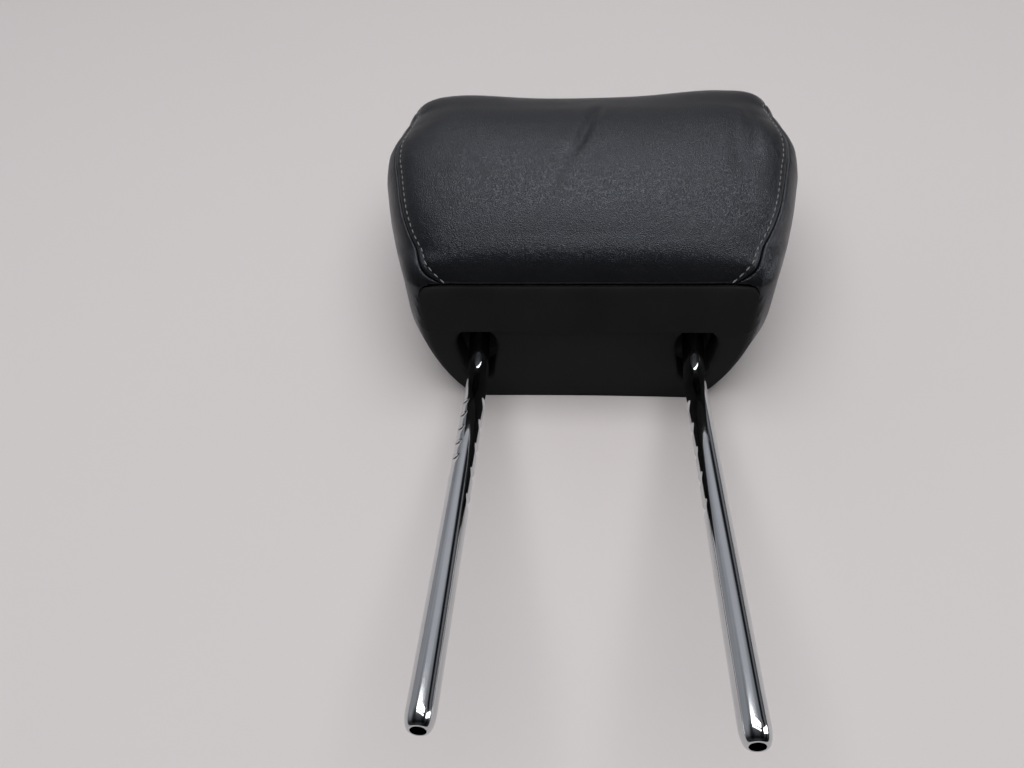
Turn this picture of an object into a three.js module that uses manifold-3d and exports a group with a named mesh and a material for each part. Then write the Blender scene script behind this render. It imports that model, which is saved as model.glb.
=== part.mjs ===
import * as THREE from 'three'
import { mergeVertices } from 'three/addons/utils/BufferGeometryUtils.js'
import Module from 'manifold-3d'

// Tilting car headrest, in millimetres with +Z up.
// It lies on its flat back with its face up. +X runs across it and +Y towards its top,
// so the two stays point towards -Y. Inside, the pad turns on the cross bar of the stays.

const wasm = await Module()
wasm.setup()

// Clearances
const touchGap = 0.3 // between parts that touch
const coverGap = 0.4 // between the cover and the foam
const turnGap = 0.5 // round the cross bar, in parts that turn on it
const postRoom = 1.5 // between a swinging stay and the foam
const overlap = 1 // depth to which joined solids run into each other, and cutters past a face

// Stays: one bent tube with two posts, two legs and a cross bar
const postSpacing = 140
const postDiameter = 14
const postWall = 1.8
const postLength = 240 // from the kink to the tip
const postLift = 15 // degrees between the posts and the back of the pad, at rest
const kinkAngle = 35 // degrees that the legs turn forward from the posts
const kinkRadius = 25
const kinkHeight = 31.3 // above the back of the pad
const legLength = 75 // from the kink to the cross bar
const cornerRadius = 22
const noseLength = 9
const noseDiameter = 9.4
const mouthDiameter = 7
const notchDepth = 1.6
const notchLength = 8
const notchFirst = 24 // from the kink
const notchPitch = 20.7
const notchCount = 5
const notchShoulder = 0.2 // share of its length that the steep end of a notch takes
const fineNotchDepth = 1.5
const fineNotchLength = 6.5
const fineNotchFirst = 27.5
const fineNotchPitch = 12.6
const fineNotchTurn = 45 // degrees round the left post, from its outer side towards the front

// Tilt of the pad on the cross bar, in degrees either side of rest
const tiltForward = 16
const tiltBack = 7

// Outer form of the pad, in the middle plane
const undersideY = 12
const bandFoot = 64 // height where the front band starts
const bandTop = new THREE.Vector2(25, 94)
const frontLine = [
  [45, 106.5],
  [85, 116],
  [131, 119.5],
  [172, 115],
  [203, 102.5],
  [215, 84],
  [217, 60],
  [214, 34],
  [207, 12],
  [197, 0]
]
const coreY = 115 // the sections shrink towards this line
const coreZ = 60

// Outer form of the pad, across its width
const halfWidth = 142.5
const halfWidthBase = 106.5
const widestY = 145
const flare = 1.35
const flareEnd = 1.1 // where the narrowing towards the underside ends
const topNarrowing = 13
const rearShare = 0.714 // width of the flat back against the full width
const rearRound = 1.6
const squareUnder = 14
const squareFront = 4.5
const squareTop = 6.5
const squareBack = 8
const saddleTop = 0.09
const saddleFront = 0.04
const underHold = 1.04 // how long the underside stays flat towards the sides
const backHold = 1.1 // and the back
const underFade = [22, 45] // where the square lower end turns into the padded form

// Cover
const coverThickness = 2.2
const seamAtBand = 0.5 // where the side seams run, from the pole at 1 to the middle at 0
const seamAtTop = 0.69
const seamRise = 22 // length over which a seam swings out from the band
const rearSeamHeight = 34 // of the seam between front and rear panel, at the top end

// Lower trim
const trimWall = 2.5
const trimInset = 0.6
const trimHalfWidth = 106
const trimCorner = 9
const trimLedge = 2
const tuckRearY = 17 // the cover ends on a plane from here to the top of the band
const ledgeOffset = 0.5 // below the foot of the band
const slotFrontRadius = 13
const slotFrontZ = 51
const slotRearRadius = 9.5
const slotRearZ = 26.5
const collarHeight = 12
const collarWall = 2
const clipLeg = { x: 30, z: 45, width: 16, thickness: 3 }

// Hook strips on the hems of the cover
const strip = { width: 8, height: 4, thickness: 1.6, frontHalf: 78, rearHalf: 60 }
const stripFront = new THREE.Vector2(25.3, 79.5)
const stripRear = new THREE.Vector2(18.5, 10.8)

// Carrier: two moulded halves round the cross bar
const carrierHalfWidth = 47
const carrierBelow = 32 // from the bar towards the stays
const carrierAbove = 38 // from the bar towards the top of the pad
const carrierRear = 32
const carrierFront = 28
const carrierWall = 3
const carrierEndWall = 8
const bossRadius = 5
const bossInset = 6 // from the rim of the carrier
const bossX = carrierHalfWidth - carrierEndWall - bossRadius - 1
const ribX = carrierHalfWidth / 2
const ribWidth = 12
const ribReach = 22

// Parts on the cross bar
const bush = { outerRadius: 10, length: 9.3 }
const ring = { outerRadius: 9.5, width: 2 }
const clamp = { thickness: 1.8, reach: 20, screwAt: 14.5 }
const collar = { outerRadius: 10, width: 8, finRadius: 19, finThickness: 3 }
const stopMargin = 1 // degrees that the stop ribs stand past the tilt range
const stopRib = { thickness: 6, clearance: 1 }

// Screws
const screw = { shank: 2, head: 4, headHeight: 2.6, point: 1.5, pointShare: 0.5, rimShare: 0.6, crownShare: 0.7 }
const screwBite = 15 // depth in the rear carrier
const clampScrewBite = 9

const degree = Math.PI / 180
const postRadius = postDiameter / 2
const boreRadius = postRadius - postWall
const legAngle = kinkAngle - postLift
const axisY = legLength * Math.cos(legAngle * degree)
const axisZ = kinkHeight + legLength * Math.sin(legAngle * degree)
const roundSides = 24
const holeSides = 12
const arcSteps = 12
const far = 4 * halfWidth // past every part

// Materials
const finish = (color, roughness, metalness) =>
  new THREE.MeshStandardMaterial({ color, roughness, metalness })
const chrome = finish(0xd8d9dc, 0.08, 1)
const springSteel = finish(0x7b7d80, 0.4, 1)
const zincSteel = finish(0xa9aaa6, 0.35, 1)
const leather = finish(0x1e1f23, 0.5, 0)
const trimPlastic = finish(0x1b1b1d, 0.6, 0)
const blackNylon = finish(0x141415, 0.5, 0)
const whiteAcetal = finish(0xd9d7cf, 0.4, 0)
const foam = finish(0x4a4a48, 0.95, 0)

// Solids for joining and cutting
function toSolid(geometry) {
  const bare = geometry.clone()
  bare.deleteAttribute('normal')
  bare.deleteAttribute('uv')
  const merged = mergeVertices(bare, 1e-4)
  const position = merged.getAttribute('position')
  const triVerts = new Uint32Array(merged.index.array)
  const vertProperties = new Float32Array(position.array)
  return new wasm.Manifold(new wasm.Mesh({ numProp: 3, vertProperties, triVerts }))
}

function toGeometry(solid) {
  const { vertProperties, triVerts } = solid.getMesh()
  const geometry = new THREE.BufferGeometry()
  geometry.setAttribute('position', new THREE.BufferAttribute(vertProperties, 3))
  geometry.setIndex(new THREE.BufferAttribute(triVerts, 1))
  geometry.computeVertexNormals()
  return geometry
}

const join = (...solids) => solids.reduce((sum, each) => sum.add(each))
const cut = (solid, ...tools) => tools.reduce((rest, tool) => rest.subtract(tool), solid)

function box(x0, x1, y0, y1, z0, z1) {
  const geometry = new THREE.BoxGeometry(x1 - x0, y1 - y0, z1 - z0)
  geometry.translate((x0 + x1) / 2, (y0 + y1) / 2, (z0 + z1) / 2)
  return toSolid(geometry)
}

// A rod between two values of x, round the line y, z
function rodX(radius, x0, x1, y = axisY, z = axisZ, sides = roundSides) {
  const geometry = new THREE.CylinderGeometry(radius, radius, x1 - x0, sides)
  geometry.rotateZ(Math.PI / 2)
  geometry.translate((x0 + x1) / 2, y, z)
  return toSolid(geometry)
}

function rodZ(radius, x, y, z0, z1, sides = holeSides) {
  const geometry = new THREE.CylinderGeometry(radius, radius, z1 - z0, sides)
  geometry.rotateX(Math.PI / 2)
  geometry.translate(x, y, (z0 + z1) / 2)
  return toSolid(geometry)
}

// A flat outline of y and z values, run along x
function slabX(shape, x0, x1) {
  const geometry = new THREE.ExtrudeGeometry(shape, { depth: x1 - x0, bevelEnabled: false, curveSegments: arcSteps })
  const basis = new THREE.Matrix4().makeBasis(
    new THREE.Vector3(0, 1, 0),
    new THREE.Vector3(0, 0, 1),
    new THREE.Vector3(1, 0, 0)
  )
  geometry.applyMatrix4(basis)
  geometry.translate(x0, 0, 0)
  return toSolid(geometry)
}

// A flat outline of x and z values, run along y
function slabY(shape, y0, y1) {
  const geometry = new THREE.ExtrudeGeometry(shape, { depth: y1 - y0, bevelEnabled: false, curveSegments: arcSteps })
  geometry.rotateX(Math.PI / 2)
  geometry.translate(0, y1, 0)
  return toSolid(geometry)
}

const outline = points => new THREE.Shape(points.map(([a, b]) => new THREE.Vector2(a, b)))

// Everything on one side of a level
const belowY = y => box(-far, far, -far, y, -far, far)
const belowZ = z => box(-far, far, -far, far, -far, z)
const aboveZ = z => box(-far, far, -far, far, z, far)

// Outer form of the pad

const smooth = (from, to, value) => THREE.MathUtils.smoothstep(value, from, to)

// The middle section as one closed path of y and z
function middleSection() {
  const path = new THREE.CurvePath()
  const under = new THREE.Vector2(undersideY, 0)
  const foot = new THREE.Vector2(undersideY, bandFoot)
  const crown = [bandTop, ...frontLine.map(([y, z]) => new THREE.Vector2(y, z))]
  path.add(new THREE.LineCurve(under, foot))
  path.add(new THREE.LineCurve(foot, bandTop))
  path.add(new THREE.SplineCurve(crown))
  path.add(new THREE.LineCurve(crown.at(-1), under))
  return path
}

const section = middleSection()
const sectionLengths = section.getCurveLengths()
const sectionLength = sectionLengths.at(-1)
const footShare = sectionLengths[0] / sectionLength
const bandShare = sectionLengths[1] / sectionLength
const backShare = sectionLengths[2] / sectionLength

const topY = Math.max(...frontLine.map(([y]) => y))

function halfWidthAt(y) {
  if (y > widestY) {
    return halfWidth - topNarrowing * ((y - widestY) / (topY - widestY)) ** 2
  }
  const drop = Math.min(flareEnd, (widestY - y) / (widestY - undersideY))
  return halfWidth - (halfWidth - halfWidthBase) * drop ** flare
}

function rearNarrowing(z) {
  const depth = THREE.MathUtils.clamp(1 - z / coreZ, 0, 1)
  return rearShare + (1 - rearShare) * (1 - depth ** rearRound) ** (1 / rearRound)
}

// Squareness and saddle of the form in the direction of a section point
function directionValues(dy, dz) {
  const alongY = (dy * dy) / (dy * dy + dz * dz)
  const faceSquare = dz > 0 ? squareFront : squareBack
  const padded = alongY * squareTop + (1 - alongY) * faceSquare
  const under = 1 - smooth(underFade[0], underFade[1], dy + coreY)
  const square = padded + (squareUnder - padded) * under
  const saddle = (dy > 0 ? alongY * saddleTop : 0) + (dz > 0 ? (1 - alongY) * saddleFront : 0)
  return { square, saddle: saddle * (1 - under) }
}

// How far out (reach) and how large (size) a section is, for q from 0 in the middle to 1 at the pole
function alongWidth(q, square) {
  const flatShare = 0.5
  const flatReach = 0.8
  if (q <= flatShare) {
    const reach = (q / flatShare) * flatReach
    return { reach, size: (1 - reach ** square) ** (1 / square) }
  }
  const flatSize = (1 - flatReach ** square) ** (1 / square)
  const size = flatSize * Math.cos(((q - flatShare) / (1 - flatShare)) * (Math.PI / 2))
  return { reach: (1 - Math.max(0, size) ** square) ** (1 / square), size }
}

// A point of the outer form: s runs round the section from 0 to 1, q across from -1 to 1
function formPoint(s, q) {
  const { x: y0, y: z0 } = section.getPoint(THREE.MathUtils.euclideanModulo(s, 1))
  const dy = y0 - coreY
  const dz = z0 - coreZ
  const { square, saddle } = directionValues(dy, dz)
  const { reach, size } = alongWidth(Math.min(1, Math.abs(q)), square)
  const swell = 1 + saddle * reach * reach
  const y = coreY + dy * (dy < 0 ? Math.min(1, underHold * size) : size * swell)
  const z = coreZ + dz * (dz < 0 ? Math.min(1, backHold * size) : size * swell)
  const x = Math.sign(q) * reach * halfWidthAt(y) * rearNarrowing(z)
  return new THREE.Vector3(x, y, z)
}

// The same point moved inwards by a depth
function insetPoint(s, q, depth) {
  const point = formPoint(s, q)
  if (depth === 0) return point
  const stepS = 0.004
  const stepQ = 0.01
  const inner = Math.sign(q) * Math.min(Math.abs(q), 1 - 3 * stepQ)
  const alongS = formPoint(s + stepS, inner).sub(formPoint(s - stepS, inner))
  const alongQ = formPoint(s, inner + stepQ).sub(formPoint(s, inner - stepQ))
  const outward = alongQ.cross(alongS).normalize()
  if (Math.abs(q) > 1 - 2 * stepQ) outward.set(Math.sign(q), 0, 0)
  return point.addScaledVector(outward, -depth)
}

// A closed solid from a grid of points that wraps round in s, with a point at each end
function wrapSolid(rows, startPoint, endPoint) {
  const columns = rows[0].length
  const points = [startPoint, ...rows.flat(), endPoint]
  const index = []
  const at = (row, column) => 1 + row * columns + (column % columns)
  for (let column = 0; column < columns; column++) {
    index.push(0, at(0, column), at(0, column + 1))
    for (let row = 0; row + 1 < rows.length; row++) {
      index.push(at(row, column), at(row + 1, column), at(row + 1, column + 1))
      index.push(at(row, column), at(row + 1, column + 1), at(row, column + 1))
    }
    index.push(at(rows.length - 1, column + 1), at(rows.length - 1, column), points.length - 1)
  }
  return geometrySolid(points, index)
}

function geometrySolid(points, index) {
  const geometry = new THREE.BufferGeometry().setFromPoints(points)
  geometry.setIndex(index)
  return toSolid(geometry)
}

// Values of s round the section, with its corners among them
const spread = (from, to, count) => Array.from({ length: count }, (_, i) => from + ((to - from) * i) / count)
const ringShares = [
  ...spread(0, footShare, 4),
  ...spread(footShare, bandShare, 2),
  ...spread(bandShare, backShare, 30),
  ...spread(backShare, 1, 5)
]
const widthShares = [0, 0.2, 0.38, seamAtBand, 0.6, seamAtTop, 0.78, 0.87, 0.95]
const acrossShares = [...widthShares.slice(1).reverse().map(q => -q), ...widthShares]

function padForm(depth) {
  const rows = acrossShares.map(q => ringShares.map(s => insetPoint(s, q, depth)))
  return wrapSolid(rows, insetPoint(footShare, -1, depth), insetPoint(footShare, 1, depth))
}

// The share across the pad at which the side seams cross the section at s
function seamShare(s) {
  const swing = Math.exp((-Math.max(0, s - bandShare) * sectionLength) / seamRise)
  return seamAtTop + (seamAtBand - seamAtTop) * swing
}

// Everything beyond one side seam, moved outwards by an offset
function beyondSeam(side, offset) {
  const inner = 0.8 // inside the cover at its thickest
  const outer = 1.3 // outside it
  const loop = ringShares.map(s => formPoint(s, side * seamShare(s)))
  const grow = (value, middle, scale) => middle + (value - middle) * scale
  const row = (scale, xOf) =>
    loop.map(point => new THREE.Vector3(xOf(point), grow(point.y, coreY, scale), grow(point.z, coreZ, scale)))
  const atSeam = point => point.x + side * offset
  const atFar = () => side * far
  const rows = [row(inner, atSeam), row(outer, atSeam), row(outer, atFar)]
  const nearEnd = new THREE.Vector3(side * halfWidthBase, coreY, coreZ)
  const farEnd = new THREE.Vector3(side * far, coreY, coreZ)
  return side > 0 ? wrapSolid(rows, nearEnd, farEnd) : wrapSolid(rows.reverse(), farEnd, nearEnd)
}

// Everything on the stays' side of the plane where the cover ends, moved by an offset
function trimSide(offset) {
  const slope = (bandTop.x - tuckRearY) / bandTop.y
  const at = z => tuckRearY + slope * z + offset
  return slabX(outline([[-far, -far], [at(-far), -far], [at(far), far], [-far, far]]), -far, far)
}

// Seen along y, the trim is a rounded plate
function trimPlate(offset) {
  const half = trimHalfWidth + offset
  const top = bandTop.y + offset
  const round = trimCorner + offset
  const shape = new THREE.Shape()
  shape.moveTo(-half, -far)
  shape.lineTo(half, -far)
  shape.lineTo(half, top - round)
  shape.absarc(half - round, top - round, round, 0, Math.PI / 2, false)
  shape.lineTo(-half + round, top)
  shape.absarc(-half + round, top - round, round, Math.PI / 2, Math.PI, false)
  return slabY(shape, -far, far)
}

// The slot round one stay: a wide round end towards the front, a narrow one towards the back
function slotSolid(side, offset, y0, y1) {
  const front = slotFrontRadius + offset
  const rear = slotRearRadius + offset
  const lean = Math.asin((front - rear) / (slotFrontZ - slotRearZ))
  const shape = new THREE.Shape()
  shape.absarc(0, slotFrontZ, front, -lean, Math.PI + lean, false)
  shape.absarc(0, slotRearZ, rear, Math.PI + lean, 2 * Math.PI - lean, false)
  return slabY(shape, y0, y1).translate([(side * postSpacing) / 2, 0, 0])
}

// The room that one leg of the stays needs while the pad tilts
function legRoom(side) {
  const room = postRadius + postRoom
  const low = (180 + legAngle + tiltBack + stopMargin) * degree
  const high = (180 + legAngle - tiltForward - stopMargin) * degree
  const reach = legLength + 2 * postRadius
  const edge = (angle, turn) => [
    axisY + reach * Math.cos(angle) + room * Math.cos(angle + turn),
    axisZ + reach * Math.sin(angle) + room * Math.sin(angle + turn)
  ]
  const shape = new THREE.Shape()
  shape.absarc(axisY, axisZ, room, low + Math.PI / 2, high - Math.PI / 2 + 2 * Math.PI, false)
  shape.lineTo(...edge(high, -Math.PI / 2))
  shape.lineTo(...edge(low, Math.PI / 2))
  const inner = carrierHalfWidth - overlap
  const outer = postSpacing / 2 + room
  return slabX(shape, side > 0 ? inner : -outer, side > 0 ? outer : -inner)
}

// Stays

// Rounds the corners of a path of points, with one radius for each inner point
function roundedPath(points, radii, steps) {
  const path = [points[0]]
  for (let i = 1; i + 1 < points.length; i++) {
    const back = points[i - 1].clone().sub(points[i]).normalize()
    const onward = points[i + 1].clone().sub(points[i]).normalize()
    const half = back.angleTo(onward) / 2
    const centre = back.clone().add(onward).normalize().multiplyScalar(radii[i - 1] / Math.sin(half)).add(points[i])
    const tangentLength = radii[i - 1] / Math.tan(half)
    const start = points[i].clone().addScaledVector(back, tangentLength).sub(centre)
    const end = points[i].clone().addScaledVector(onward, tangentLength).sub(centre)
    const axis = start.clone().cross(end).normalize()
    const sweep = Math.PI - 2 * half
    for (let k = 0; k <= steps; k++) {
      path.push(start.clone().applyAxisAngle(axis, (sweep * k) / steps).add(centre))
    }
  }
  path.push(points.at(-1))
  return path
}

// One ring of points for each stop on a path, kept from twisting
function tubeRings(path, radii, sides) {
  const rings = []
  let side = new THREE.Vector3(1, 0, 0)
  path.forEach((point, i) => {
    const before = path[Math.max(0, i - 1)]
    const after = path[Math.min(path.length - 1, i + 1)]
    const along = after.clone().sub(before).normalize()
    side = side.clone().addScaledVector(along, -side.dot(along)).normalize()
    const other = along.clone().cross(side)
    rings.push(
      Array.from({ length: sides }, (_, k) => {
        const turn = (2 * Math.PI * (k + 0.5)) / sides
        return point
          .clone()
          .addScaledVector(side, radii[i] * Math.cos(turn))
          .addScaledVector(other, radii[i] * Math.sin(turn))
      })
    )
  })
  return rings
}

function stayPath() {
  const half = postSpacing / 2
  const lift = postLift * degree
  const alongPost = (x, distance) =>
    new THREE.Vector3(x, -distance * Math.cos(lift), kinkHeight + distance * Math.sin(lift))
  const side = sign => [
    alongPost(sign * half, postLength),
    alongPost(sign * half, 0),
    new THREE.Vector3(sign * half, axisY, axisZ)
  ]
  const corners = [...side(-1), ...side(1).reverse()]
  const path = roundedPath(corners, [kinkRadius, cornerRadius, cornerRadius, kinkRadius], 6)
  const shoulder = sign => alongPost(sign * half, postLength - noseLength)
  return [path[0], shoulder(-1), ...path.slice(1, -1), shoulder(1), path.at(-1)]
}

// The tube's outer and inner walls meet at its open tips
function stayTube() {
  const path = stayPath()
  const sides = 14
  const taper = (tip, full) => path.map((_, i) => (i === 0 || i === path.length - 1 ? tip : full))
  const outer = tubeRings(path, taper(noseDiameter / 2, postRadius), sides)
  const inner = tubeRings(path, taper(mouthDiameter / 2, boreRadius), sides)
  const rows = [...outer, ...inner.reverse()]
  const points = rows.flat()
  const index = []
  for (let row = 0; row < rows.length; row++) {
    const next = (row + 1) % rows.length
    for (let k = 0; k < sides; k++) {
      const turn = (k + 1) % sides
      const [a, b, c, d] = [row * sides + k, row * sides + turn, next * sides + turn, next * sides + k]
      index.push(a, b, c, a, c, d)
    }
  }
  return geometrySolid(points, index)
}

// A sawtooth notch on the +X side of a post, turned round the post's middle
// Its steep shoulder lies towards the pad and its ramp towards the tip
function notch(x, turn, distance, depth, length) {
  const shape = outline([
    [postRadius + overlap, 0],
    [postRadius - depth, -notchShoulder * length],
    [postRadius + overlap, -length * (1 + overlap / depth)]
  ])
  const geometry = new THREE.ExtrudeGeometry(shape, { depth: 2 * postDiameter, bevelEnabled: false })
  geometry.translate(0, -distance, -postDiameter)
  geometry.rotateY(turn * degree)
  geometry.rotateX(-postLift * degree)
  geometry.translate(x, 0, kinkHeight)
  return toSolid(geometry)
}

function notchRow(x, turn, first, pitch, depth, length) {
  return Array.from({ length: notchCount }, (_, i) => notch(x, turn, first + i * pitch, depth, length))
}

function makePostTube() {
  const half = postSpacing / 2
  return cut(
    stayTube(),
    ...notchRow(-half, 0, notchFirst, notchPitch, notchDepth, notchLength),
    ...notchRow(half, 180, notchFirst, notchPitch, notchDepth, notchLength),
    ...notchRow(-half, fineNotchTurn - 180, fineNotchFirst, fineNotchPitch, fineNotchDepth, fineNotchLength)
  )
}

const tube = (outerRadius, innerRadius, x0, x1) =>
  rodX(outerRadius, x0, x1).subtract(rodX(innerRadius, x0 - overlap, x1 + overlap))

const fixedBore = postRadius + touchGap
const turningBore = postRadius + turnGap

// The collar's fin runs between two stop ribs in the front carrier
function makeStopCollar() {
  const half = collar.width / 2
  const fin = box(
    -half,
    half,
    axisY - collar.finThickness / 2,
    axisY + collar.finThickness / 2,
    axisZ + fixedBore + overlap / 2,
    axisZ + collar.finRadius
  )
  return tube(collar.outerRadius, fixedBore, -half, half).add(fin)
}

const bushStart = carrierHalfWidth - bush.length + touchGap

function makeLocatingRing(side) {
  const outer = bushStart - touchGap
  const inner = outer - ring.width
  return side > 0
    ? tube(ring.outerRadius, fixedBore, inner, outer)
    : tube(ring.outerRadius, fixedBore, -outer, -inner)
}

function makeBush(side) {
  const outer = bushStart + bush.length
  return side > 0
    ? tube(bush.outerRadius, turningBore, bushStart, outer)
    : tube(bush.outerRadius, turningBore, -outer, -bushStart)
}

// Carrier

const carrierLow = axisY - carrierBelow
const carrierHigh = axisY + carrierAbove
const bossPlaces = [-1, 1].flatMap(side => [
  [side * bossX, carrierLow + bossInset],
  [side * bossX, carrierHigh - bossInset]
])
const screwRoom = screw.shank + touchGap

// A box between z0 and z1, hollow between two other levels
function carrierTray(z0, z1, hollowLow, hollowHigh) {
  const inner = carrierHalfWidth - carrierEndWall
  return cut(
    box(-carrierHalfWidth, carrierHalfWidth, carrierLow, carrierHigh, z0, z1),
    box(-inner, inner, carrierLow + carrierWall, carrierHigh - carrierWall, hollowLow, hollowHigh)
  )
}

const bushSeat = (x0, x1) => rodX(bush.outerRadius + touchGap, x0, x1)
const pastCarrier = carrierHalfWidth + overlap

function makeRearCarrier() {
  const z0 = axisZ - carrierRear
  const z1 = axisZ - touchGap / 2
  const bosses = bossPlaces.map(([x, y]) => rodZ(bossRadius, x, y, z0 + overlap, z1, roundSides))
  const ribs = [-1, 1].map(side =>
    box(
      side * ribX - ribWidth / 2,
      side * ribX + ribWidth / 2,
      axisY - ribReach,
      axisY + ribReach,
      z0 + overlap,
      z1
    )
  )
  const seatStart = carrierHalfWidth - carrierEndWall - overlap / 2
  const ends = [bushSeat(-pastCarrier, -seatStart), bushSeat(seatStart, pastCarrier)]
  const holes = bossPlaces.map(([x, y]) => rodZ(screwRoom, x, y, z1 - screwBite - touchGap, z1 + overlap))
  const clampHoles = clampScrewPlaces().map(([x, y]) =>
    rodZ(screwRoom, x, y, z1 - clampScrewBite - touchGap, z1 + overlap)
  )
  const barRoom = rodX(turningBore, -carrierHalfWidth, carrierHalfWidth)
  const tray = carrierTray(z0, z1, z0 + carrierWall, z1 + overlap)
  return cut(join(tray, ...bosses, ...ribs), barRoom, ...ends, ...holes, ...clampHoles)
}

function makeFrontCarrier() {
  const z0 = axisZ + touchGap / 2
  const z1 = axisZ + carrierFront
  const bosses = bossPlaces.map(([x, y]) => rodZ(bossRadius, x, y, z0, z1 - overlap, roundSides))
  const holes = bossPlaces.map(([x, y]) => rodZ(screwRoom, x, y, z0 - overlap, z1 + overlap))
  const tray = carrierTray(z0, z1, z0 - overlap, z1 - carrierWall)
  return cut(join(tray, ...bosses, ...stopRibs(z1 - overlap)), bushSeat(-pastCarrier, pastCarrier), ...holes)
}

// Two ribs that the fin of the collar meets at the ends of the tilt
function stopRibs(top) {
  const height = top - axisZ
  const near = collar.outerRadius + stopRib.clearance
  const finTurn = Math.asin(collar.finThickness / 2 / near) / degree
  return [1, -1].map(side => {
    const range = side > 0 ? tiltForward : tiltBack
    const lean = (range + finTurn + stopMargin) * degree
    const face = radius => [side * radius * Math.sin(lean), radius * Math.cos(lean)]
    const back = height * Math.tan(lean) + stopRib.thickness
    const points = [
      face(near),
      [side * height * Math.tan(lean), height],
      [side * back, height],
      [side * back, near]
    ]
    const ordered = side > 0 ? points.reverse() : points
    const shape = outline(ordered.map(([y, z]) => [axisY + y, axisZ + z]))
    return slabX(shape, -collar.width, collar.width)
  })
}

// Saddle clamps press the bar on the ribs of the rear carrier, and their grip holds the tilt
function clampScrewPlaces() {
  return [-1, 1].flatMap(side => [
    [side * ribX, axisY - clamp.screwAt],
    [side * ribX, axisY + clamp.screwAt]
  ])
}

const clampFoot = axisZ + touchGap / 2
const clampTop = clampFoot + clamp.thickness

function makeClamp(side) {
  const half = ribWidth / 2
  const arch = rodX(turningBore + clamp.thickness, side * ribX - half, side * ribX + half)
  const ears = box(
    side * ribX - half,
    side * ribX + half,
    axisY - clamp.reach,
    axisY + clamp.reach,
    clampFoot,
    clampTop
  )
  const holes = clampScrewPlaces().map(([x, y]) =>
    rodZ(screwRoom, x, y, clampFoot - overlap, clampTop + overlap)
  )
  const bar = rodX(turningBore, -carrierHalfWidth, carrierHalfWidth)
  return cut(join(arch, ears), belowZ(clampFoot), bar, ...holes)
}

// A pan head screw that points towards -Z, with its seat at z
function makeScrew(x, y, z, bite) {
  const profile = [
    [0, -bite],
    [screw.shank * screw.pointShare, -bite],
    [screw.shank, -bite + screw.point],
    [screw.shank, 0],
    [screw.head, 0],
    [screw.head, screw.headHeight * screw.rimShare],
    [screw.head * screw.crownShare, screw.headHeight],
    [0, screw.headHeight]
  ].map(([radius, height]) => new THREE.Vector2(radius, height))
  const geometry = new THREE.LatheGeometry(profile, holeSides)
  geometry.rotateX(Math.PI / 2)
  geometry.translate(x, y, z)
  return toSolid(geometry)
}

// Lower trim with the front band, the recessed underside and two slots with collars

function clipLegSolid(side, offset) {
  const half = clipLeg.width / 2 + offset
  const thick = clipLeg.thickness / 2 + offset
  return box(
    side * clipLeg.x - half,
    side * clipLeg.x + half,
    undersideY + trimLedge + overlap,
    carrierLow - touchGap + offset,
    clipLeg.z - thick,
    clipLeg.z + thick
  )
}

function makeBaseTrim() {
  const floorY = undersideY + trimLedge + trimWall
  const shell = padForm(trimInset).intersect(trimPlate(0)).intersect(trimSide(-touchGap / 2))
  const inside = padForm(trimInset + trimWall)
    .intersect(trimPlate(-trimWall))
    .subtract(belowY(floorY))
  const recess = belowY(undersideY + trimLedge).intersect(belowZ(bandFoot - ledgeOffset))
  const collars = [-1, 1].map(side => slotSolid(side, collarWall, floorY - overlap, floorY + collarHeight))
  const slots = [-1, 1].map(side => slotSolid(side, 0, undersideY - overlap, floorY + collarHeight + overlap))
  const legs = [-1, 1].map(side => clipLegSolid(side, 0))
  return cut(join(cut(shell, inside, recess), ...collars, ...legs), ...slots)
}

// Hook strips, J-shaped in section, which the hems of the cover are sewn to
function stripShape(at, flip) {
  const { width, height, thickness } = strip
  const points = [
    [0, 0],
    [height, 0],
    [height, thickness],
    [thickness, thickness],
    [thickness, width],
    [0, width]
  ]
  const ordered = flip ? points.map(([y, z]) => [y, -z]).reverse() : points
  return outline(ordered.map(([y, z]) => [at.x + y, at.y + z]))
}

const makeStrip = (at, half, flip) => slabX(stripShape(at, flip), -half, half)

function stripRoom(at, half, flip) {
  const reach = strip.width + touchGap
  return box(
    -half - touchGap,
    half + touchGap,
    at.x - touchGap,
    at.x + strip.height + touchGap,
    flip ? at.y - reach : at.y - touchGap,
    flip ? at.y + touchGap : at.y + reach
  )
}

// Foam core, moulded round the carrier, with room for the legs to swing
function makeFoamCore() {
  const floorY = undersideY + trimLedge + trimWall + touchGap
  const underCover = padForm(coverThickness + coverGap).subtract(trimSide(touchGap / 2))
  const underTrim = padForm(trimInset + trimWall + touchGap).intersect(trimPlate(-trimWall - touchGap))
  const carrierRoom = box(
    -carrierHalfWidth - touchGap,
    carrierHalfWidth + touchGap,
    carrierLow - touchGap,
    carrierHigh + touchGap,
    axisZ - carrierRear - touchGap,
    axisZ + carrierFront + touchGap
  )
  const front = axisZ + carrierFront
  const headRooms = bossPlaces.map(([x, y]) =>
    rodZ(screw.head + touchGap, x, y, front - overlap, front + screw.headHeight + 2 * touchGap)
  )
  const slotTop = floorY + collarHeight
  const collarRooms = [-1, 1].map(side => slotSolid(side, collarWall + touchGap, floorY - overlap, slotTop))
  return cut(
    join(underCover, underTrim.intersect(trimSide(overlap))),
    belowY(floorY),
    belowZ(coverThickness + touchGap),
    carrierRoom,
    legRoom(-1),
    legRoom(1),
    ...headRooms,
    ...collarRooms,
    clipLegSolid(-1, touchGap),
    clipLegSolid(1, touchGap),
    stripRoom(stripFront, strip.frontHalf, false),
    stripRoom(stripRear, strip.rearHalf, true)
  )
}

// Cover panels, sewn together at the seams

function coverShell() {
  const trimRoom = trimPlate(touchGap).intersect(trimSide(touchGap / 2))
  return cut(padForm(0), padForm(coverThickness), belowY(tuckRearY + touchGap / 2), trimRoom)
}

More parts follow.
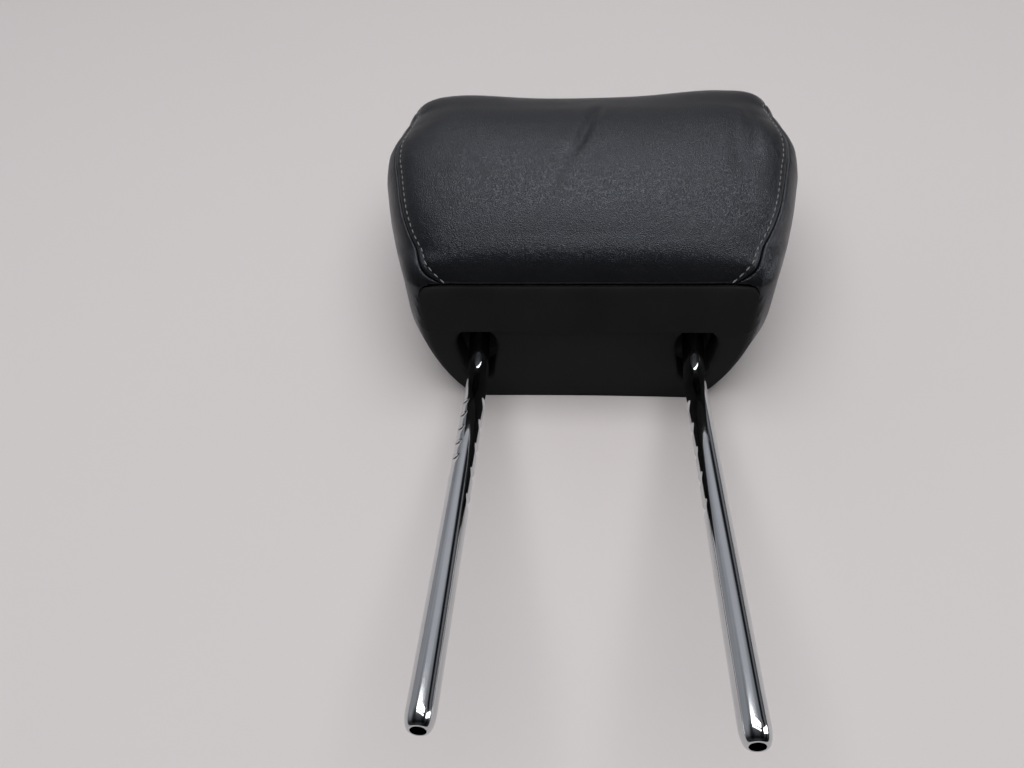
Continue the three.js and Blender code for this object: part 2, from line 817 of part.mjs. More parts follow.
const cover = coverShell()
const coverMiddle = cut(cover, beyondSeam(-1, -touchGap / 2), beyondSeam(1, -touchGap / 2))

const makeFrontPanel = () => coverMiddle.subtract(belowZ(rearSeamHeight + touchGap / 2))
const makeRearPanel = () => coverMiddle.subtract(aboveZ(rearSeamHeight - touchGap / 2))
const makeSidePanel = side => cover.intersect(beyondSeam(side, touchGap / 2))

// Assembly

function part(name, solid, material) {
  const mesh = new THREE.Mesh(toGeometry(solid), material)
  mesh.name = name
  return mesh
}

const sides = [
  ['left', -1],
  ['right', 1]
]

const stays = new THREE.Group()
stays.add(part('post_tube', makePostTube(), chrome))
stays.add(part('stop_collar', makeStopCollar(), zincSteel))
for (const [name, side] of sides) {
  stays.add(part(`locating_ring_${name}`, makeLocatingRing(side), springSteel))
}

const mechanism = new THREE.Group()
mechanism.add(part('rear_carrier', makeRearCarrier(), blackNylon))
mechanism.add(part('front_carrier', makeFrontCarrier(), blackNylon))
for (const [name, side] of sides) {
  mechanism.add(part(`pivot_bush_${name}`, makeBush(side), whiteAcetal))
  mechanism.add(part(`saddle_clamp_${name}`, makeClamp(side), springSteel))
}
bossPlaces.forEach(([x, y], i) => {
  const seat = axisZ + carrierFront + touchGap
  const bite = carrierFront + screwBite
  mechanism.add(part(`carrier_screw_${i + 1}`, makeScrew(x, y, seat, bite), zincSteel))
})
clampScrewPlaces().forEach(([x, y], i) => {
  const seat = clampTop + touchGap
  mechanism.add(part(`clamp_screw_${i + 1}`, makeScrew(x, y, seat, clampScrewBite), zincSteel))
})

const padding = new THREE.Group()
padding.add(part('foam_core', makeFoamCore(), foam))
padding.add(part('base_trim', makeBaseTrim(), trimPlastic))
padding.add(part('front_hook_strip', makeStrip(stripFront, strip.frontHalf, false), blackNylon))
padding.add(part('rear_hook_strip', makeStrip(stripRear, strip.rearHalf, true), blackNylon))
padding.add(part('front_panel', makeFrontPanel(), leather))
padding.add(part('rear_panel', makeRearPanel(), leather))
for (const [name, side] of sides) {
  padding.add(part(`side_panel_${name}`, makeSidePanel(side), leather))
}

const headrest = new THREE.Group()
headrest.add(stays, mechanism, padding)

// The origin lies under the middle of the whole headrest
const bounds = new THREE.Box3().setFromObject(headrest, true)
headrest.position.y = -(bounds.min.y + bounds.max.y) / 2

export default headrest
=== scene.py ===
import math

import bmesh
import bpy
import numpy as np
from mathutils import Matrix, Vector
from mathutils.kdtree import KDTree


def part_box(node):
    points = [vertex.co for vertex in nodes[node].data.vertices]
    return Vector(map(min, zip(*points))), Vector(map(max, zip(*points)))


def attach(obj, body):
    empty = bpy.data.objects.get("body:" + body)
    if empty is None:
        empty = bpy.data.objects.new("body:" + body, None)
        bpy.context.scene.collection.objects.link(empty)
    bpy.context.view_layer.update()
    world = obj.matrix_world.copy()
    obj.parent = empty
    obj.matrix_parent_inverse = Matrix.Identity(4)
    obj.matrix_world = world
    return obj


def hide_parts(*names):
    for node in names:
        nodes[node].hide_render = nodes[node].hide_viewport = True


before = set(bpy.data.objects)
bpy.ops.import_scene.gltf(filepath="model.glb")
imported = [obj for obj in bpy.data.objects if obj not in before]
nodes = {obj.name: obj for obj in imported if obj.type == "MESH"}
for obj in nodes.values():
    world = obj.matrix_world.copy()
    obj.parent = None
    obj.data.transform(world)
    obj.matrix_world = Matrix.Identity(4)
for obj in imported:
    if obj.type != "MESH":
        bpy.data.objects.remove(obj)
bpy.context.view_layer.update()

scene = bpy.context.scene
scene.view_settings.view_transform = "Standard"
print("frame loaded:", len(nodes), "CAD nodes")

# Shapes are worked out in millimetres, with y from the kinks of the stays, and then moved into the frame
tiltAxisY = 70.4769
collarLow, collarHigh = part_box("stop_collar")
originY = 500 * (collarLow.y + collarHigh.y) - tiltAxisY


def toMetres(points):
    moved = np.array(points, float)
    moved[..., 1] += originY
    return moved / 1000


# Camera

cameraSettings = {
    "place": (-0.004, -0.3024, 0.445),
    "forward": (-0.0840, 0.5913, -0.8021),
    "up": (-0.0099, 0.8044, 0.5941),
    "lens": 27.81,
}


def makeCamera():
    data = bpy.data.cameras.new("camera")
    data.lens = cameraSettings["lens"]
    data.sensor_width = 36
    data.clip_start = 0.01
    camera = bpy.data.objects.new("camera", data)
    back = -Vector(cameraSettings["forward"]).normalized()
    right = Vector(cameraSettings["up"]).cross(back).normalized()
    up = back.cross(right)
    turn = Matrix((right, up, back)).transposed().to_4x4()
    camera.matrix_world = Matrix.Translation(cameraSettings["place"]) @ turn
    scene.collection.objects.link(camera)
    scene.camera = camera


makeCamera()
print("camera placed")


# Materials

def newMaterial(name):
    material = bpy.data.materials.new(name)
    material.use_nodes = True
    tree = material.node_tree
    shader = tree.nodes["Principled BSDF"]
    coordinates = tree.nodes.new("ShaderNodeTexCoord")
    return material, tree, shader, coordinates.outputs["Object"]


def addNode(tree, kind, **inputs):
    node = tree.nodes.new(kind)
    for name, value in inputs.items():
        socket = node.inputs[name.replace("_", " ")]
        if isinstance(value, bpy.types.NodeSocket):
            tree.links.new(value, socket)
        else:
            socket.default_value = value
    return node


def noiseOf(tree, coordinates, scale, detail=3.0, roughness=0.5):
    node = addNode(tree, "ShaderNodeTexNoise", Vector=coordinates, Scale=scale, Detail=detail,
                   Roughness=roughness)
    return node.outputs["Fac"]


def rangeOf(tree, value, fromLow, fromHigh, toLow=0.0, toHigh=1.0):
    node = addNode(tree, "ShaderNodeMapRange", Value=value, From_Min=fromLow, From_Max=fromHigh,
                   To_Min=toLow, To_Max=toHigh)
    return node.outputs["Result"]


def mathOf(tree, operation, first, second):
    node = tree.nodes.new("ShaderNodeMath")
    node.operation = operation
    for socket, value in zip(node.inputs, (first, second)):
        if isinstance(value, bpy.types.NodeSocket):
            tree.links.new(value, socket)
        else:
            socket.default_value = value
    return node.outputs[0]


def mixColours(tree, factor, first, second):
    node = tree.nodes.new("ShaderNodeMix")
    node.data_type = "RGBA"
    tree.links.new(factor, node.inputs[0])
    node.inputs[6].default_value = (*first, 1)
    node.inputs[7].default_value = (*second, 1)
    return node.outputs[2]


def bumpOf(tree, height, distance, strength=1.0, under=None):
    node = addNode(tree, "ShaderNodeBump", Height=height, Distance=distance, Strength=strength)
    if under is not None:
        tree.links.new(under, node.inputs["Normal"])
    return node.outputs["Normal"]


leatherLook = {
    "colour": (0.0062, 0.0064, 0.0076),
    "worn": (0.0098, 0.0101, 0.0116),
    "pebbleScale": 900.0,
    "pebbleHeight": 0.00014,
    "warpScale": 260.0,
    "warp": (0.0016, 0.0016, 0.0016),
    "creaseScale": 2400.0,
    "cloudScale": 14.0,
    "rumpleScale": 70.0,
    "rumpleHeight": 0.0005,
    "roughness": (0.29, 0.37),
    "specular": 0.34,
    "sheen": (0.9, 0.96, 1.1, 1.0),
}


def makeLeather():
    look = leatherLook
    material, tree, shader, place = newMaterial("black_leather")
    warp = addNode(tree, "ShaderNodeTexNoise", Vector=place, Scale=look["warpScale"], Detail=2.0)
    bent = tree.nodes.new("ShaderNodeVectorMath")
    bent.operation = "MULTIPLY_ADD"
    tree.links.new(warp.outputs["Color"], bent.inputs[0])
    bent.inputs[1].default_value = look["warp"]
    tree.links.new(place, bent.inputs[2])
    pebbles = addNode(tree, "ShaderNodeTexVoronoi", Vector=bent.outputs[0], Scale=look["pebbleScale"])
    pebbles.feature = "DISTANCE_TO_EDGE"
    pebble = rangeOf(tree, pebbles.outputs["Distance"], 0.0, 0.35)
    fine = noiseOf(tree, place, look["creaseScale"], 2.0)
    height = mathOf(tree, "ADD", pebble, mathOf(tree, "MULTIPLY", fine, 0.35))
    soft = noiseOf(tree, place, look["cloudScale"], 4.0, 0.55)
    colourMix = rangeOf(tree, mathOf(tree, "ADD", soft, mathOf(tree, "MULTIPLY", pebble, 0.25)), 0.35, 0.95)
    tree.links.new(mixColours(tree, colourMix, look["colour"], look["worn"]), shader.inputs["Base Color"])
    rough = rangeOf(tree, soft, 0.3, 0.7, *look["roughness"])
    tree.links.new(rough, shader.inputs["Roughness"])
    shader.inputs["Specular IOR Level"].default_value = look["specular"]
    shader.inputs["Specular Tint"].default_value = look["sheen"]
    rumple = bumpOf(tree, noiseOf(tree, place, look["rumpleScale"], 3.0), look["rumpleHeight"], 0.5)
    tree.links.new(bumpOf(tree, height, look["pebbleHeight"], 0.75, rumple), shader.inputs["Normal"])
    return material


plasticLook = {
    "trim": {"colour": (0.0135, 0.0135, 0.0142), "light": (0.019, 0.019, 0.02), "grain": 3000.0,
             "depth": 0.00006, "roughness": (0.52, 0.66), "specular": 0.08},
    "nylon": {"colour": (0.009, 0.009, 0.01), "light": (0.018, 0.018, 0.019), "grain": 1300.0,
              "depth": 0.00005, "roughness": (0.42, 0.58), "specular": 0.5},
    "strip": {"colour": (0.014, 0.014, 0.014), "light": (0.024, 0.024, 0.024), "grain": 900.0,
              "depth": 0.00003, "roughness": (0.35, 0.5), "specular": 0.5},
    "acetal": {"colour": (0.56, 0.54, 0.49), "light": (0.66, 0.64, 0.59), "grain": 700.0, "depth": 0.00003,
               "roughness": (0.28, 0.42), "specular": 0.5},
}


def makePlastic(name):
    look = plasticLook[name]
    material, tree, shader, place = newMaterial(f"{name}_plastic")
    grain = noiseOf(tree, place, look["grain"], 3.0, 0.6)
    cloud = noiseOf(tree, place, 22.0, 4.0)
    tree.links.new(mixColours(tree, rangeOf(tree, cloud, 0.3, 0.75), look["colour"], look["light"]),
                   shader.inputs["Base Color"])
    tree.links.new(rangeOf(tree, cloud, 0.3, 0.7, *look["roughness"]), shader.inputs["Roughness"])
    shader.inputs["Specular IOR Level"].default_value = look["specular"]
    tree.links.new(bumpOf(tree, grain, look["depth"], 0.8), shader.inputs["Normal"])
    return material


metalLook = {
    "chrome": {"colour": (0.6, 0.61, 0.625), "dull": (0.55, 0.56, 0.575), "roughness": (0.05, 0.11),
               "grain": 400.0, "depth": 0.000002},
    "zinc": {"colour": (0.52, 0.53, 0.51), "dull": (0.4, 0.42, 0.4), "roughness": (0.3, 0.5), "grain": 900.0,
             "depth": 0.00002},
    "springSteel": {"colour": (0.2, 0.21, 0.23), "dull": (0.12, 0.13, 0.15), "roughness": (0.35, 0.5),
                    "grain": 700.0, "depth": 0.00002},
}


def makeMetal(name):
    look = metalLook[name]
    material, tree, shader, place = newMaterial(f"{name}_metal")
    cloud = noiseOf(tree, place, 45.0, 5.0, 0.6)
    tree.links.new(mixColours(tree, rangeOf(tree, cloud, 0.4, 0.75), look["colour"], look["dull"]),
                   shader.inputs["Base Color"])
    tree.links.new(rangeOf(tree, cloud, 0.35, 0.75, *look["roughness"]), shader.inputs["Roughness"])
    shader.inputs["Metallic"].default_value = 1.0
    grain = noiseOf(tree, place, look["grain"], 3.0)
    tree.links.new(bumpOf(tree, grain, look["depth"], 0.6), shader.inputs["Normal"])
    return material


foamLook = {"colour": (0.06, 0.06, 0.058), "cell": (0.1, 0.1, 0.097), "cellScale": 900.0, "cellDepth": 0.0004}


def makeFoamMaterial():
    look = foamLook
    material, tree, shader, place = newMaterial("moulded_foam")
    cells = addNode(tree, "ShaderNodeTexVoronoi", Vector=place, Scale=look["cellScale"])
    cell = rangeOf(tree, cells.outputs["Distance"], 0.0, 0.8)
    cloud = noiseOf(tree, place, 18.0, 4.0)
    tree.links.new(mixColours(tree, mathOf(tree, "MULTIPLY", cell, cloud), look["colour"], look["cell"]),
                   shader.inputs["Base Color"])
    shader.inputs["Roughness"].default_value = 0.95
    tree.links.new(bumpOf(tree, cell, look["cellDepth"], 0.7), shader.inputs["Normal"])
    return material


threadLook = {"colour": (0.2, 0.2, 0.205), "light": (0.3, 0.3, 0.31), "plyScale": 2400.0}


def makeThread():
    look = threadLook
    material, tree, shader, place = newMaterial("grey_thread")
    ply = tree.nodes.new("ShaderNodeTexWave")
    ply.bands_direction = "DIAGONAL"
    tree.links.new(place, ply.inputs["Vector"])
    ply.inputs["Scale"].default_value = look["plyScale"]
    ply.inputs["Distortion"].default_value = 1.5
    tree.links.new(mixColours(tree, ply.outputs["Fac"], look["colour"], look["light"]),
                   shader.inputs["Base Color"])
    shader.inputs["Roughness"].default_value = 0.7
    tree.links.new(bumpOf(tree, ply.outputs["Fac"], 0.00008, 0.8), shader.inputs["Normal"])
    return material


leather = makeLeather()
trimPlastic = makePlastic("trim")
nylon = makePlastic("nylon")
stripPlastic = makePlastic("strip")
acetal = makePlastic("acetal")
chrome = makeMetal("chrome")
zinc = makeMetal("zinc")
springSteel = makeMetal("springSteel")
foamMaterial = makeFoamMaterial()
thread = makeThread()
print("materials made")


# Outer form of the pad, by the rule of the solids, with an underside that leans out

padForm = {
    "undersideY": 12.0,
    "bandFoot": 64.0,
    "bandTop": (25.0, 94.0),
    "frontLine": [(45, 106.5), (85, 116), (131, 119.5), (172, 115), (203, 102.5), (215, 84), (217, 60),
                  (214, 34), (207, 12), (197, 0)],
    "coreY": 115.0,
    "coreZ": 60.0,
    "halfWidth": 142.5,
    "halfWidthBase": 106.5,
    "widestY": 145.0,
    "flare": 1.35,
    "topNarrowing": 13.0,
    "rearShare": 0.714,
    "rearRound": 1.6,
    "squareUnder": 14.0,
    "squareFront": 4.5,
    "squareTop": 6.5,
    "squareBack": 8.0,
    "saddleTop": 0.09,
    "saddleFront": 0.04,
    "underFade": (22.0, 45.0),
    "underHold": 1.04,
    "backHold": 1.1,
    "flatReach": 0.8,
    "lean": 5.2,  # how far the underside stands out at the table
}


def smoothStep(value, low, high):
    share = np.clip((value - low) / (high - low), 0, 1)
    return share * share * (3 - 2 * share)


def splinePoints(points, steps):
    made = []
    last = len(points) - 1
    for i in range(last):
        near = (points[min(max(k, 0), last)] for k in range(i - 1, i + 3))
        before, start, end, after = (np.array(point, float) for point in near)
        slopeStart, slopeEnd = (end - before) / 2, (after - start) / 2
        for t in np.linspace(0, 1, steps, endpoint=False):
            made.append((2 * start - 2 * end + slopeStart + slopeEnd) * t ** 3
                        + (-3 * start + 3 * end - 2 * slopeStart - slopeEnd) * t ** 2
                        + slopeStart * t + start)
    made.append(np.array(points[last], float))
    return made


under = np.array((padForm["undersideY"], 0.0))
foot = np.array((padForm["undersideY"], padForm["bandFoot"]))
crownSteps = 60  # points on each stretch of the front line
crown = splinePoints([padForm["bandTop"], *padForm["frontLine"]], crownSteps)
sectionPath = np.array([under, foot, *crown, under])
sectionRuns = np.concatenate([[0], np.cumsum(np.linalg.norm(np.diff(sectionPath, axis=0), axis=1))])
sectionLength = sectionRuns[-1]
footShare = sectionRuns[1] / sectionLength
bandShare = sectionRuns[2] / sectionLength
backShare = sectionRuns[-2] / sectionLength


def sectionPoint(s):
    run = np.mod(s, 1) * sectionLength
    return np.interp(run, sectionRuns, sectionPath[:, 0]), np.interp(run, sectionRuns, sectionPath[:, 1])


def halfWidthAt(y):
    f = padForm
    above = np.clip((y - f["widestY"]) / (f["frontLine"][6][0] - f["widestY"]), 0, None)
    below = np.clip((f["widestY"] - y) / (f["widestY"] - f["undersideY"]), 0, 1.1)
    narrowing = (f["halfWidth"] - f["halfWidthBase"]) * below ** f["flare"]
    return f["halfWidth"] - f["topNarrowing"] * above ** 2 - narrowing


def rearNarrowing(z):
    f = padForm
    depth = np.clip(1 - z / f["coreZ"], 0, 1)
    return f["rearShare"] + (1 - f["rearShare"]) * (1 - depth ** f["rearRound"]) ** (1 / f["rearRound"])


def formPoint(s, q):
    f = padForm
    y0, z0 = sectionPoint(s)
    dy, dz = y0 - f["coreY"], z0 - f["coreZ"]
    alongY = dy * dy / (dy * dy + dz * dz)
    padded = alongY * f["squareTop"] + (1 - alongY) * np.where(dz > 0, f["squareFront"], f["squareBack"])
    below = 1 - smoothStep(y0, *f["underFade"])
    square = padded + (f["squareUnder"] - padded) * below
    saddle = (np.where(dy > 0, alongY * f["saddleTop"], 0)
              + np.where(dz > 0, (1 - alongY) * f["saddleFront"], 0)) * (1 - below)
    far = np.clip(np.abs(q), 0, 1)
    flatReach = f["flatReach"]
    flatSize = (1 - flatReach ** square) ** (1 / square)
    innerReach = np.minimum(far / 0.5, 1) * flatReach
    turn = np.clip((far - 0.5) / 0.5, 0, 1) * math.pi / 2
    outerSize = flatSize * np.clip(np.cos(turn), 0, None)
    inner = far <= 0.5
    size = np.where(inner, (1 - innerReach ** square) ** (1 / square), outerSize)
    reach = np.where(inner, innerReach, (1 - outerSize ** square) ** (1 / square))
    swell = size * (1 + saddle * reach * reach)
    y = f["coreY"] + dy * np.where(dy < 0, np.minimum(1, f["underHold"] * size), swell)
    z = f["coreZ"] + dz * np.where(dz < 0, np.minimum(1, f["backHold"] * size), swell)
    x = np.sign(q) * reach * halfWidthAt(y) * rearNarrowing(z)
    y = y - f["lean"] * np.clip(1 - z / 60, 0, 1) * (1 - smoothStep(y, 14, 60))
    return np.stack([x, y, z], axis=-1)


def formNormal(s, q):
    stepS, stepQ = 0.004, 0.01
    held = np.clip(q, -1 + 3 * stepQ, 1 - 3 * stepQ)
    alongS = formPoint(s + stepS, held) - formPoint(s - stepS, held)
    alongQ = formPoint(s, held + stepQ) - formPoint(s, held - stepQ)
    outward = np.cross(alongQ, alongS)
    outward /= np.linalg.norm(outward, axis=-1, keepdims=True) + 1e-12
    poleShare = smoothStep(np.abs(q), 0.9, 1.0)[..., None]
    pole = np.stack([np.sign(q), np.zeros_like(q), np.zeros_like(q)], axis=-1)
    mixed = outward * (1 - poleShare) + pole * poleShare
    return mixed / (np.linalg.norm(mixed, axis=-1, keepdims=True) + 1e-12)


# Where one piece ends and the next starts

borders = {
    "seamAtBand": 0.5,
    "seamAtTop": 0.69,
    "seamRise": 22.0,
    "topPull": 0.04,  # how far the seams come in over the top end
    "rearSeamHeight": 34.0,
    "tuckRearY": 17.0,
    "trimHalfWidth": 106.0,
    "trimCorner": 14.0,
    "gap": 0.15,
}


def seamShare(s):
    run = np.clip(s - bandShare, 0, None) * sectionLength
    pull = borders["topPull"] * smoothStep(s, 0.35, 0.45) * (1 - smoothStep(s, 0.58, 0.68))
    swing = (borders["seamAtBand"] - borders["seamAtTop"]) * np.exp(-run / borders["seamRise"])
    return borders["seamAtTop"] + swing - pull


def seamDistance(s, q):
    # Millimetres from the side seam, above zero towards the middle of the pad
    at = seamShare(s)
    step = 0.01
    width = np.linalg.norm(formPoint(s, at + step) - formPoint(s, at - step), axis=-1) / (2 * step)
    return (at - np.abs(q)) * width


def planeDistance(point):
    # Above zero on the cover's side of the plane where the trim ends
    slope = (padForm["bandTop"][0] - borders["tuckRearY"]) / padForm["bandTop"][1]
    return point[..., 1] - borders["tuckRearY"] - slope * point[..., 2]


def plateDistance(point):
    # Above zero outside the rounded outline of the trim, seen along y
    corner = borders["trimCorner"]
    x = np.abs(point[..., 0]) - (borders["trimHalfWidth"] - corner)
    z = point[..., 2] - (padForm["bandTop"][1] - corner)
    return np.hypot(np.clip(x, 0, None), np.clip(z, 0, None)) + np.minimum(np.maximum(x, z), 0) - corner


def coverDistance(point):
    # Millimetres from the trim, above zero on the cover
    return np.maximum(planeDistance(point), plateDistance(point)) - borders["gap"]


# Meshes from a grid of two values, cut along a line

def clipGrid(uAxis, vAxis, levelOf):
    gridU, gridV = np.meshgrid(uAxis, vAxis, indexing="ij")
    level = levelOf(gridU, gridV)
    places, numbers, faces = [], {}, []

    def cornerOf(at):
        if at not in numbers:
            numbers[at] = len(places)
            places.append((gridU[at], gridV[at]))
        return numbers[at]

    def crossingOf(a, b):
        key = (a, b) if a < b else (b, a)
        if key not in numbers:
            share = level[a] / (level[a] - level[b])
            numbers[key] = len(places)
            places.append(tuple(grid[a] + (grid[b] - grid[a]) * share for grid in (gridU, gridV)))
        return numbers[key]

    for i in range(len(uAxis) - 1):
        for j in range(len(vAxis) - 1):
            ring = [(i, j), (i, j + 1), (i + 1, j + 1), (i + 1, j)]
            kept = [level[at] > 0 for at in ring]
            if not any(kept):
                continue
            face = []
            for k in range(4):
                if kept[k]:
                    face.append(cornerOf(ring[k]))
                if kept[k] != kept[(k + 1) % 4]:
                    face.append(crossingOf(ring[k], ring[(k + 1) % 4]))
            faces.append(face)
    return np.array(places), faces


def mergePoints(points, faces, *others):
    # Merges points that lie on each other, as at a pole, and drops faces that this leaves empty
    keys = np.round(points / 1e-3).astype(np.int64)
    found, first, where = np.unique(keys, axis=0, return_index=True, return_inverse=True)
    where = where.ravel()
    kept = []
    for face in faces:
        ring = []
        for index in face:
            if where[index] not in ring:
                ring.append(int(where[index]))
        if len(ring) > 2:
            kept.append(ring)
    return [points[first], kept, *(other[first] for other in others)]


def edgesOfRim(faces):
    seen = set()
    for face in faces:
        for a, b in zip(face, face[1:] + face[:1]):
            seen.add((a, b))
    return [(a, b) for a, b in seen if (b, a) not in seen]


def newPiece(name, points, faces, material, sharpDegrees=40):
    mesh = bpy.data.meshes.new(name)
    mesh.from_pydata([tuple(p) for p in toMetres(points)], [], [list(map(int, f)) for f in faces])
    mesh.materials.append(material)
    mesh.validate()
    mesh.shade_smooth()
    mesh.set_sharp_from_angle(angle=math.radians(sharpDegrees))
    piece = bpy.data.objects.new(name, mesh)
    scene.collection.objects.link(piece)
    return piece


def closeShell(outer, inner, faces):
    # One closed body from an outer and an inner wall with the same faces
    outer, faces, inner = mergePoints(outer, faces, inner)
    count = len(outer)
    rim = [[b, a, a + count, b + count] for a, b in edgesOfRim(faces)]
    innerFaces = [[index + count for index in reversed(face)] for face in faces]
    return np.vstack([outer, inner]), faces + innerFaces + rim


def rolledEdge(distance, radius):
    # How far a rounded edge has dropped at this distance from it
    share = np.clip(1 - distance / radius, 0, 1)
    return radius * (1 - np.sqrt(np.clip(1 - share * share, 0, 1)))


# Leather cover: blown up from the form by a cloth simulation, then cut into its four panels

coverSettings = {
    "thickness": 2.2,
    "slack": 0.9,  # how far inside the form the leather starts
    "swellCap": 3.6,  # the most that it may swell
    "voxel": 5.0,
    "pressure": 4.0,
    "gain": 2.2,  # times the simulated swelling
    "neighbours": 24,
    "spread": 0.008,
    "quickReach": 16.0,
    "blankGrid": (150, 81),
    "stiffness": {"tension": 25, "compression": 25, "shear": 10, "bending": 4},
    "frames": 20,
    "pinWidth": 5.0,
    "seamRoll": 2.0,
    "edgeRoll": 1.8,
    "seamPull": (0.7, 7.0),  # depth and width of the dip beside a seam
    "stitchPull": (0.35, 1.6),
    "stitchInset": 5.0,
}


def treeOf(points):
    tree = KDTree(len(points))
    for i, point in enumerate(points):
        tree.insert(point, i)
    tree.balance()
    return tree


def blowUp():
    cover = coverSettings
    rows, columns = cover["blankGrid"]
    s, q = np.meshgrid(np.linspace(0, 1, rows), np.linspace(-1, 1, columns), indexing="ij")
    points = formPoint(s, q) - cover["slack"] * formNormal(s, q)
    corners = [i * columns + j for i in range(rows - 1) for j in range(columns - 1)]
    faces = [[at, at + 1, at + columns + 1, at + columns] for at in corners]
    points, faces = mergePoints(points.reshape(-1, 3), faces)
    body = newPiece("cover_blank", points, faces, leather)
    remesh = body.modifiers.new("voxels", "REMESH")
    remesh.mode = "VOXEL"
    remesh.voxel_size = cover["voxel"] / 1000
    blank = meshFromObject(body)
    body.modifiers.remove(remesh)
    body.data = blank
    start = pointsOf(body)
    local = start * 1000 - np.array([0, originY, 0])
    along = np.linspace(bandShare, 0.99, 700)
    seams = treeOf(np.vstack([formPoint(along, side * seamShare(along)) for side in (-1, 1)]))
    nearSeam = np.array([seams.find(point)[2] for point in local])
    held = (nearSeam < cover["pinWidth"]) | (coverDistance(local) < 3) | (local[:, 2] < 6)
    pins = body.vertex_groups.new(name="pins")
    pins.add([int(i) for i in np.flatnonzero(held)], 1.0, "REPLACE")
    cloth = body.modifiers.new("cloth", "CLOTH")
    cloth.settings.quality = 6
    cloth.settings.mass = 0.4
    for kind, value in cover["stiffness"].items():
        setattr(cloth.settings, f"{kind}_stiffness", value)
    cloth.settings.use_pressure = True
    cloth.settings.uniform_pressure_force = cover["pressure"]
    cloth.settings.vertex_group_mass = "pins"
    cloth.settings.effector_weights.gravity = 0
    cloth.point_cache.frame_start, cloth.point_cache.frame_end = 1, cover["frames"]
    for number in range(1, cover["frames"] + 1):
        scene.frame_set(number)
    swollen = meshFromObject(body)
    end = np.array([v.co for v in swollen.vertices])
    scene.frame_set(1)
    bpy.data.objects.remove(body)
    return start, end


def meshFromObject(piece):
    bpy.context.view_layer.update()
    evaluated = piece.evaluated_get(bpy.context.evaluated_depsgraph_get())
    return bpy.data.meshes.new_from_object(evaluated)


def pointsOf(piece):
    return np.array([v.co for v in piece.data.vertices])


blankStart, blankEnd = blowUp()
swellTree = treeOf(blankStart)
swellValues = (blankEnd - blankStart) * 1000
lengths = np.linalg.norm(swellValues, axis=1)
print("cover blown up:", len(blankStart), "points, most", round(float(lengths.max()), 1), "mm, middle",
      round(float(np.median(lengths)), 1), "mm")


def swellOf(points, normals, distance):
    # Millimetres that the leather swells outwards at each point
    cover = coverSettings
    cap = cover["swellCap"]
    if swellTree is None:
        return cap * (1 - np.exp(-np.clip(distance, 0, None) / cover["quickReach"]))
    made = np.zeros(len(points))
    for i, place in enumerate(toMetres(points)):
        total, weights = 0.0, 0.0
        for _, index, gap in swellTree.find_n(Vector(place), cover["neighbours"]):
            weight = math.exp(-(gap / cover["spread"]) ** 2)
            total += weight * float(swellValues[index] @ normals[i])
            weights += weight
        made[i] = cover["gain"] * total / weights
    return cap * np.tanh(np.clip(made, 0, None) / cap)


# Soft creases of the front panel: ends and width across, in x and y, and depth
creases = [
    {"from": (8.0, 176.0), "to": (-8.0, 118.0), "width": 4.2, "depth": 1.5},
    {"from": (-12.0, 128.0), "to": (-22.0, 88.0), "width": 7.0, "depth": 0.8},
    {"from": (112.0, 172.0), "to": (106.0, 112.0), "width": 5.0, "depth": 0.7},
    {"from": (100.0, 160.0), "to": (97.0, 100.0), "width": 6.0, "depth": 0.45},
]


def creaseDepth(points):
    total = np.zeros(len(points))
    for crease in creases:
        start, end = np.array(crease["from"]), np.array(crease["to"])
        along = end - start
        length = np.linalg.norm(along)
        offset = points[:, :2] - start
        run = offset @ along / length
        across = (offset[:, 0] * along[1] - offset[:, 1] * along[0]) / length / crease["width"]
        ends = (smoothStep(run, -0.15 * length, 0.3 * length)
                * (1 - smoothStep(run, 0.7 * length, 1.15 * length)))
        total += crease["depth"] * ends * (1 - 0.9 * across ** 2) * np.exp(-across ** 2 / 1.6)
    return total * (points[:, 2] > padForm["coreZ"])


def coverWalls(s, q, distance, seamSide):
    # Outer and inner wall of the leather at these values of s and q
    cover = coverSettings
    points, normals = formPoint(s, q), formNormal(s, q)
    trimGap = coverDistance(points)
    nearest = np.minimum(distance, np.clip(trimGap, 0, None) + 0.6)
    swell = swellOf(points - cover["slack"] * normals, normals, nearest)
    pull = cover["seamPull"][0] * np.exp(-np.clip(distance, 0, None) / cover["seamPull"][1])
    roll = np.maximum(rolledEdge(distance, cover["seamRoll"]), rolledEdge(trimGap, cover["edgeRoll"]))
    groove = 0
    if seamSide == "middle":
        dip, width = cover["stitchPull"]
        groove = dip * np.exp(-((seamDistance(s, q) - cover["stitchInset"]) / width) ** 2)
    creaseDrop = creaseDepth(points) if seamSide == "middle" else 0
    full = extraFullness(points) * smoothStep(trimGap, -1.0, 10.0)
    depth = cover["slack"] - swell + pull + roll + groove + creaseDrop - full
    resting = smoothStep(points[:, 2], 0.0, 5.0)
    depth = depth * resting + (1 - resting) * np.clip(roll, 0, None)
    outer = points - depth[:, None] * normals
    outer[:, 2] = np.maximum(outer[:, 2], 0)
    innerDepth = np.maximum(depth + 0.8, cover["thickness"])
    return outer, points - innerDepth[:, None] * normals


# Where the padding is fuller than the form, in millimetres
fullness = {
    "flankY": (12, 50, 90, 125, 145, 165, 185, 200, 215),
    "flankOut": (4.6, 1.2, 1.7, 1.8, 0.0, -2.6, -2.4, 1.4, 3.6),
    "flankReach": (95.0, 128.0),
    "toRight": 1.0,  # this pad lies slightly to the right on its stays
    "topFrom": (178.0, 210.0),
    "topMiddle": 1.3,
    "topCorner": 3.4,
    "topReach": (30.0, 100.0),
}


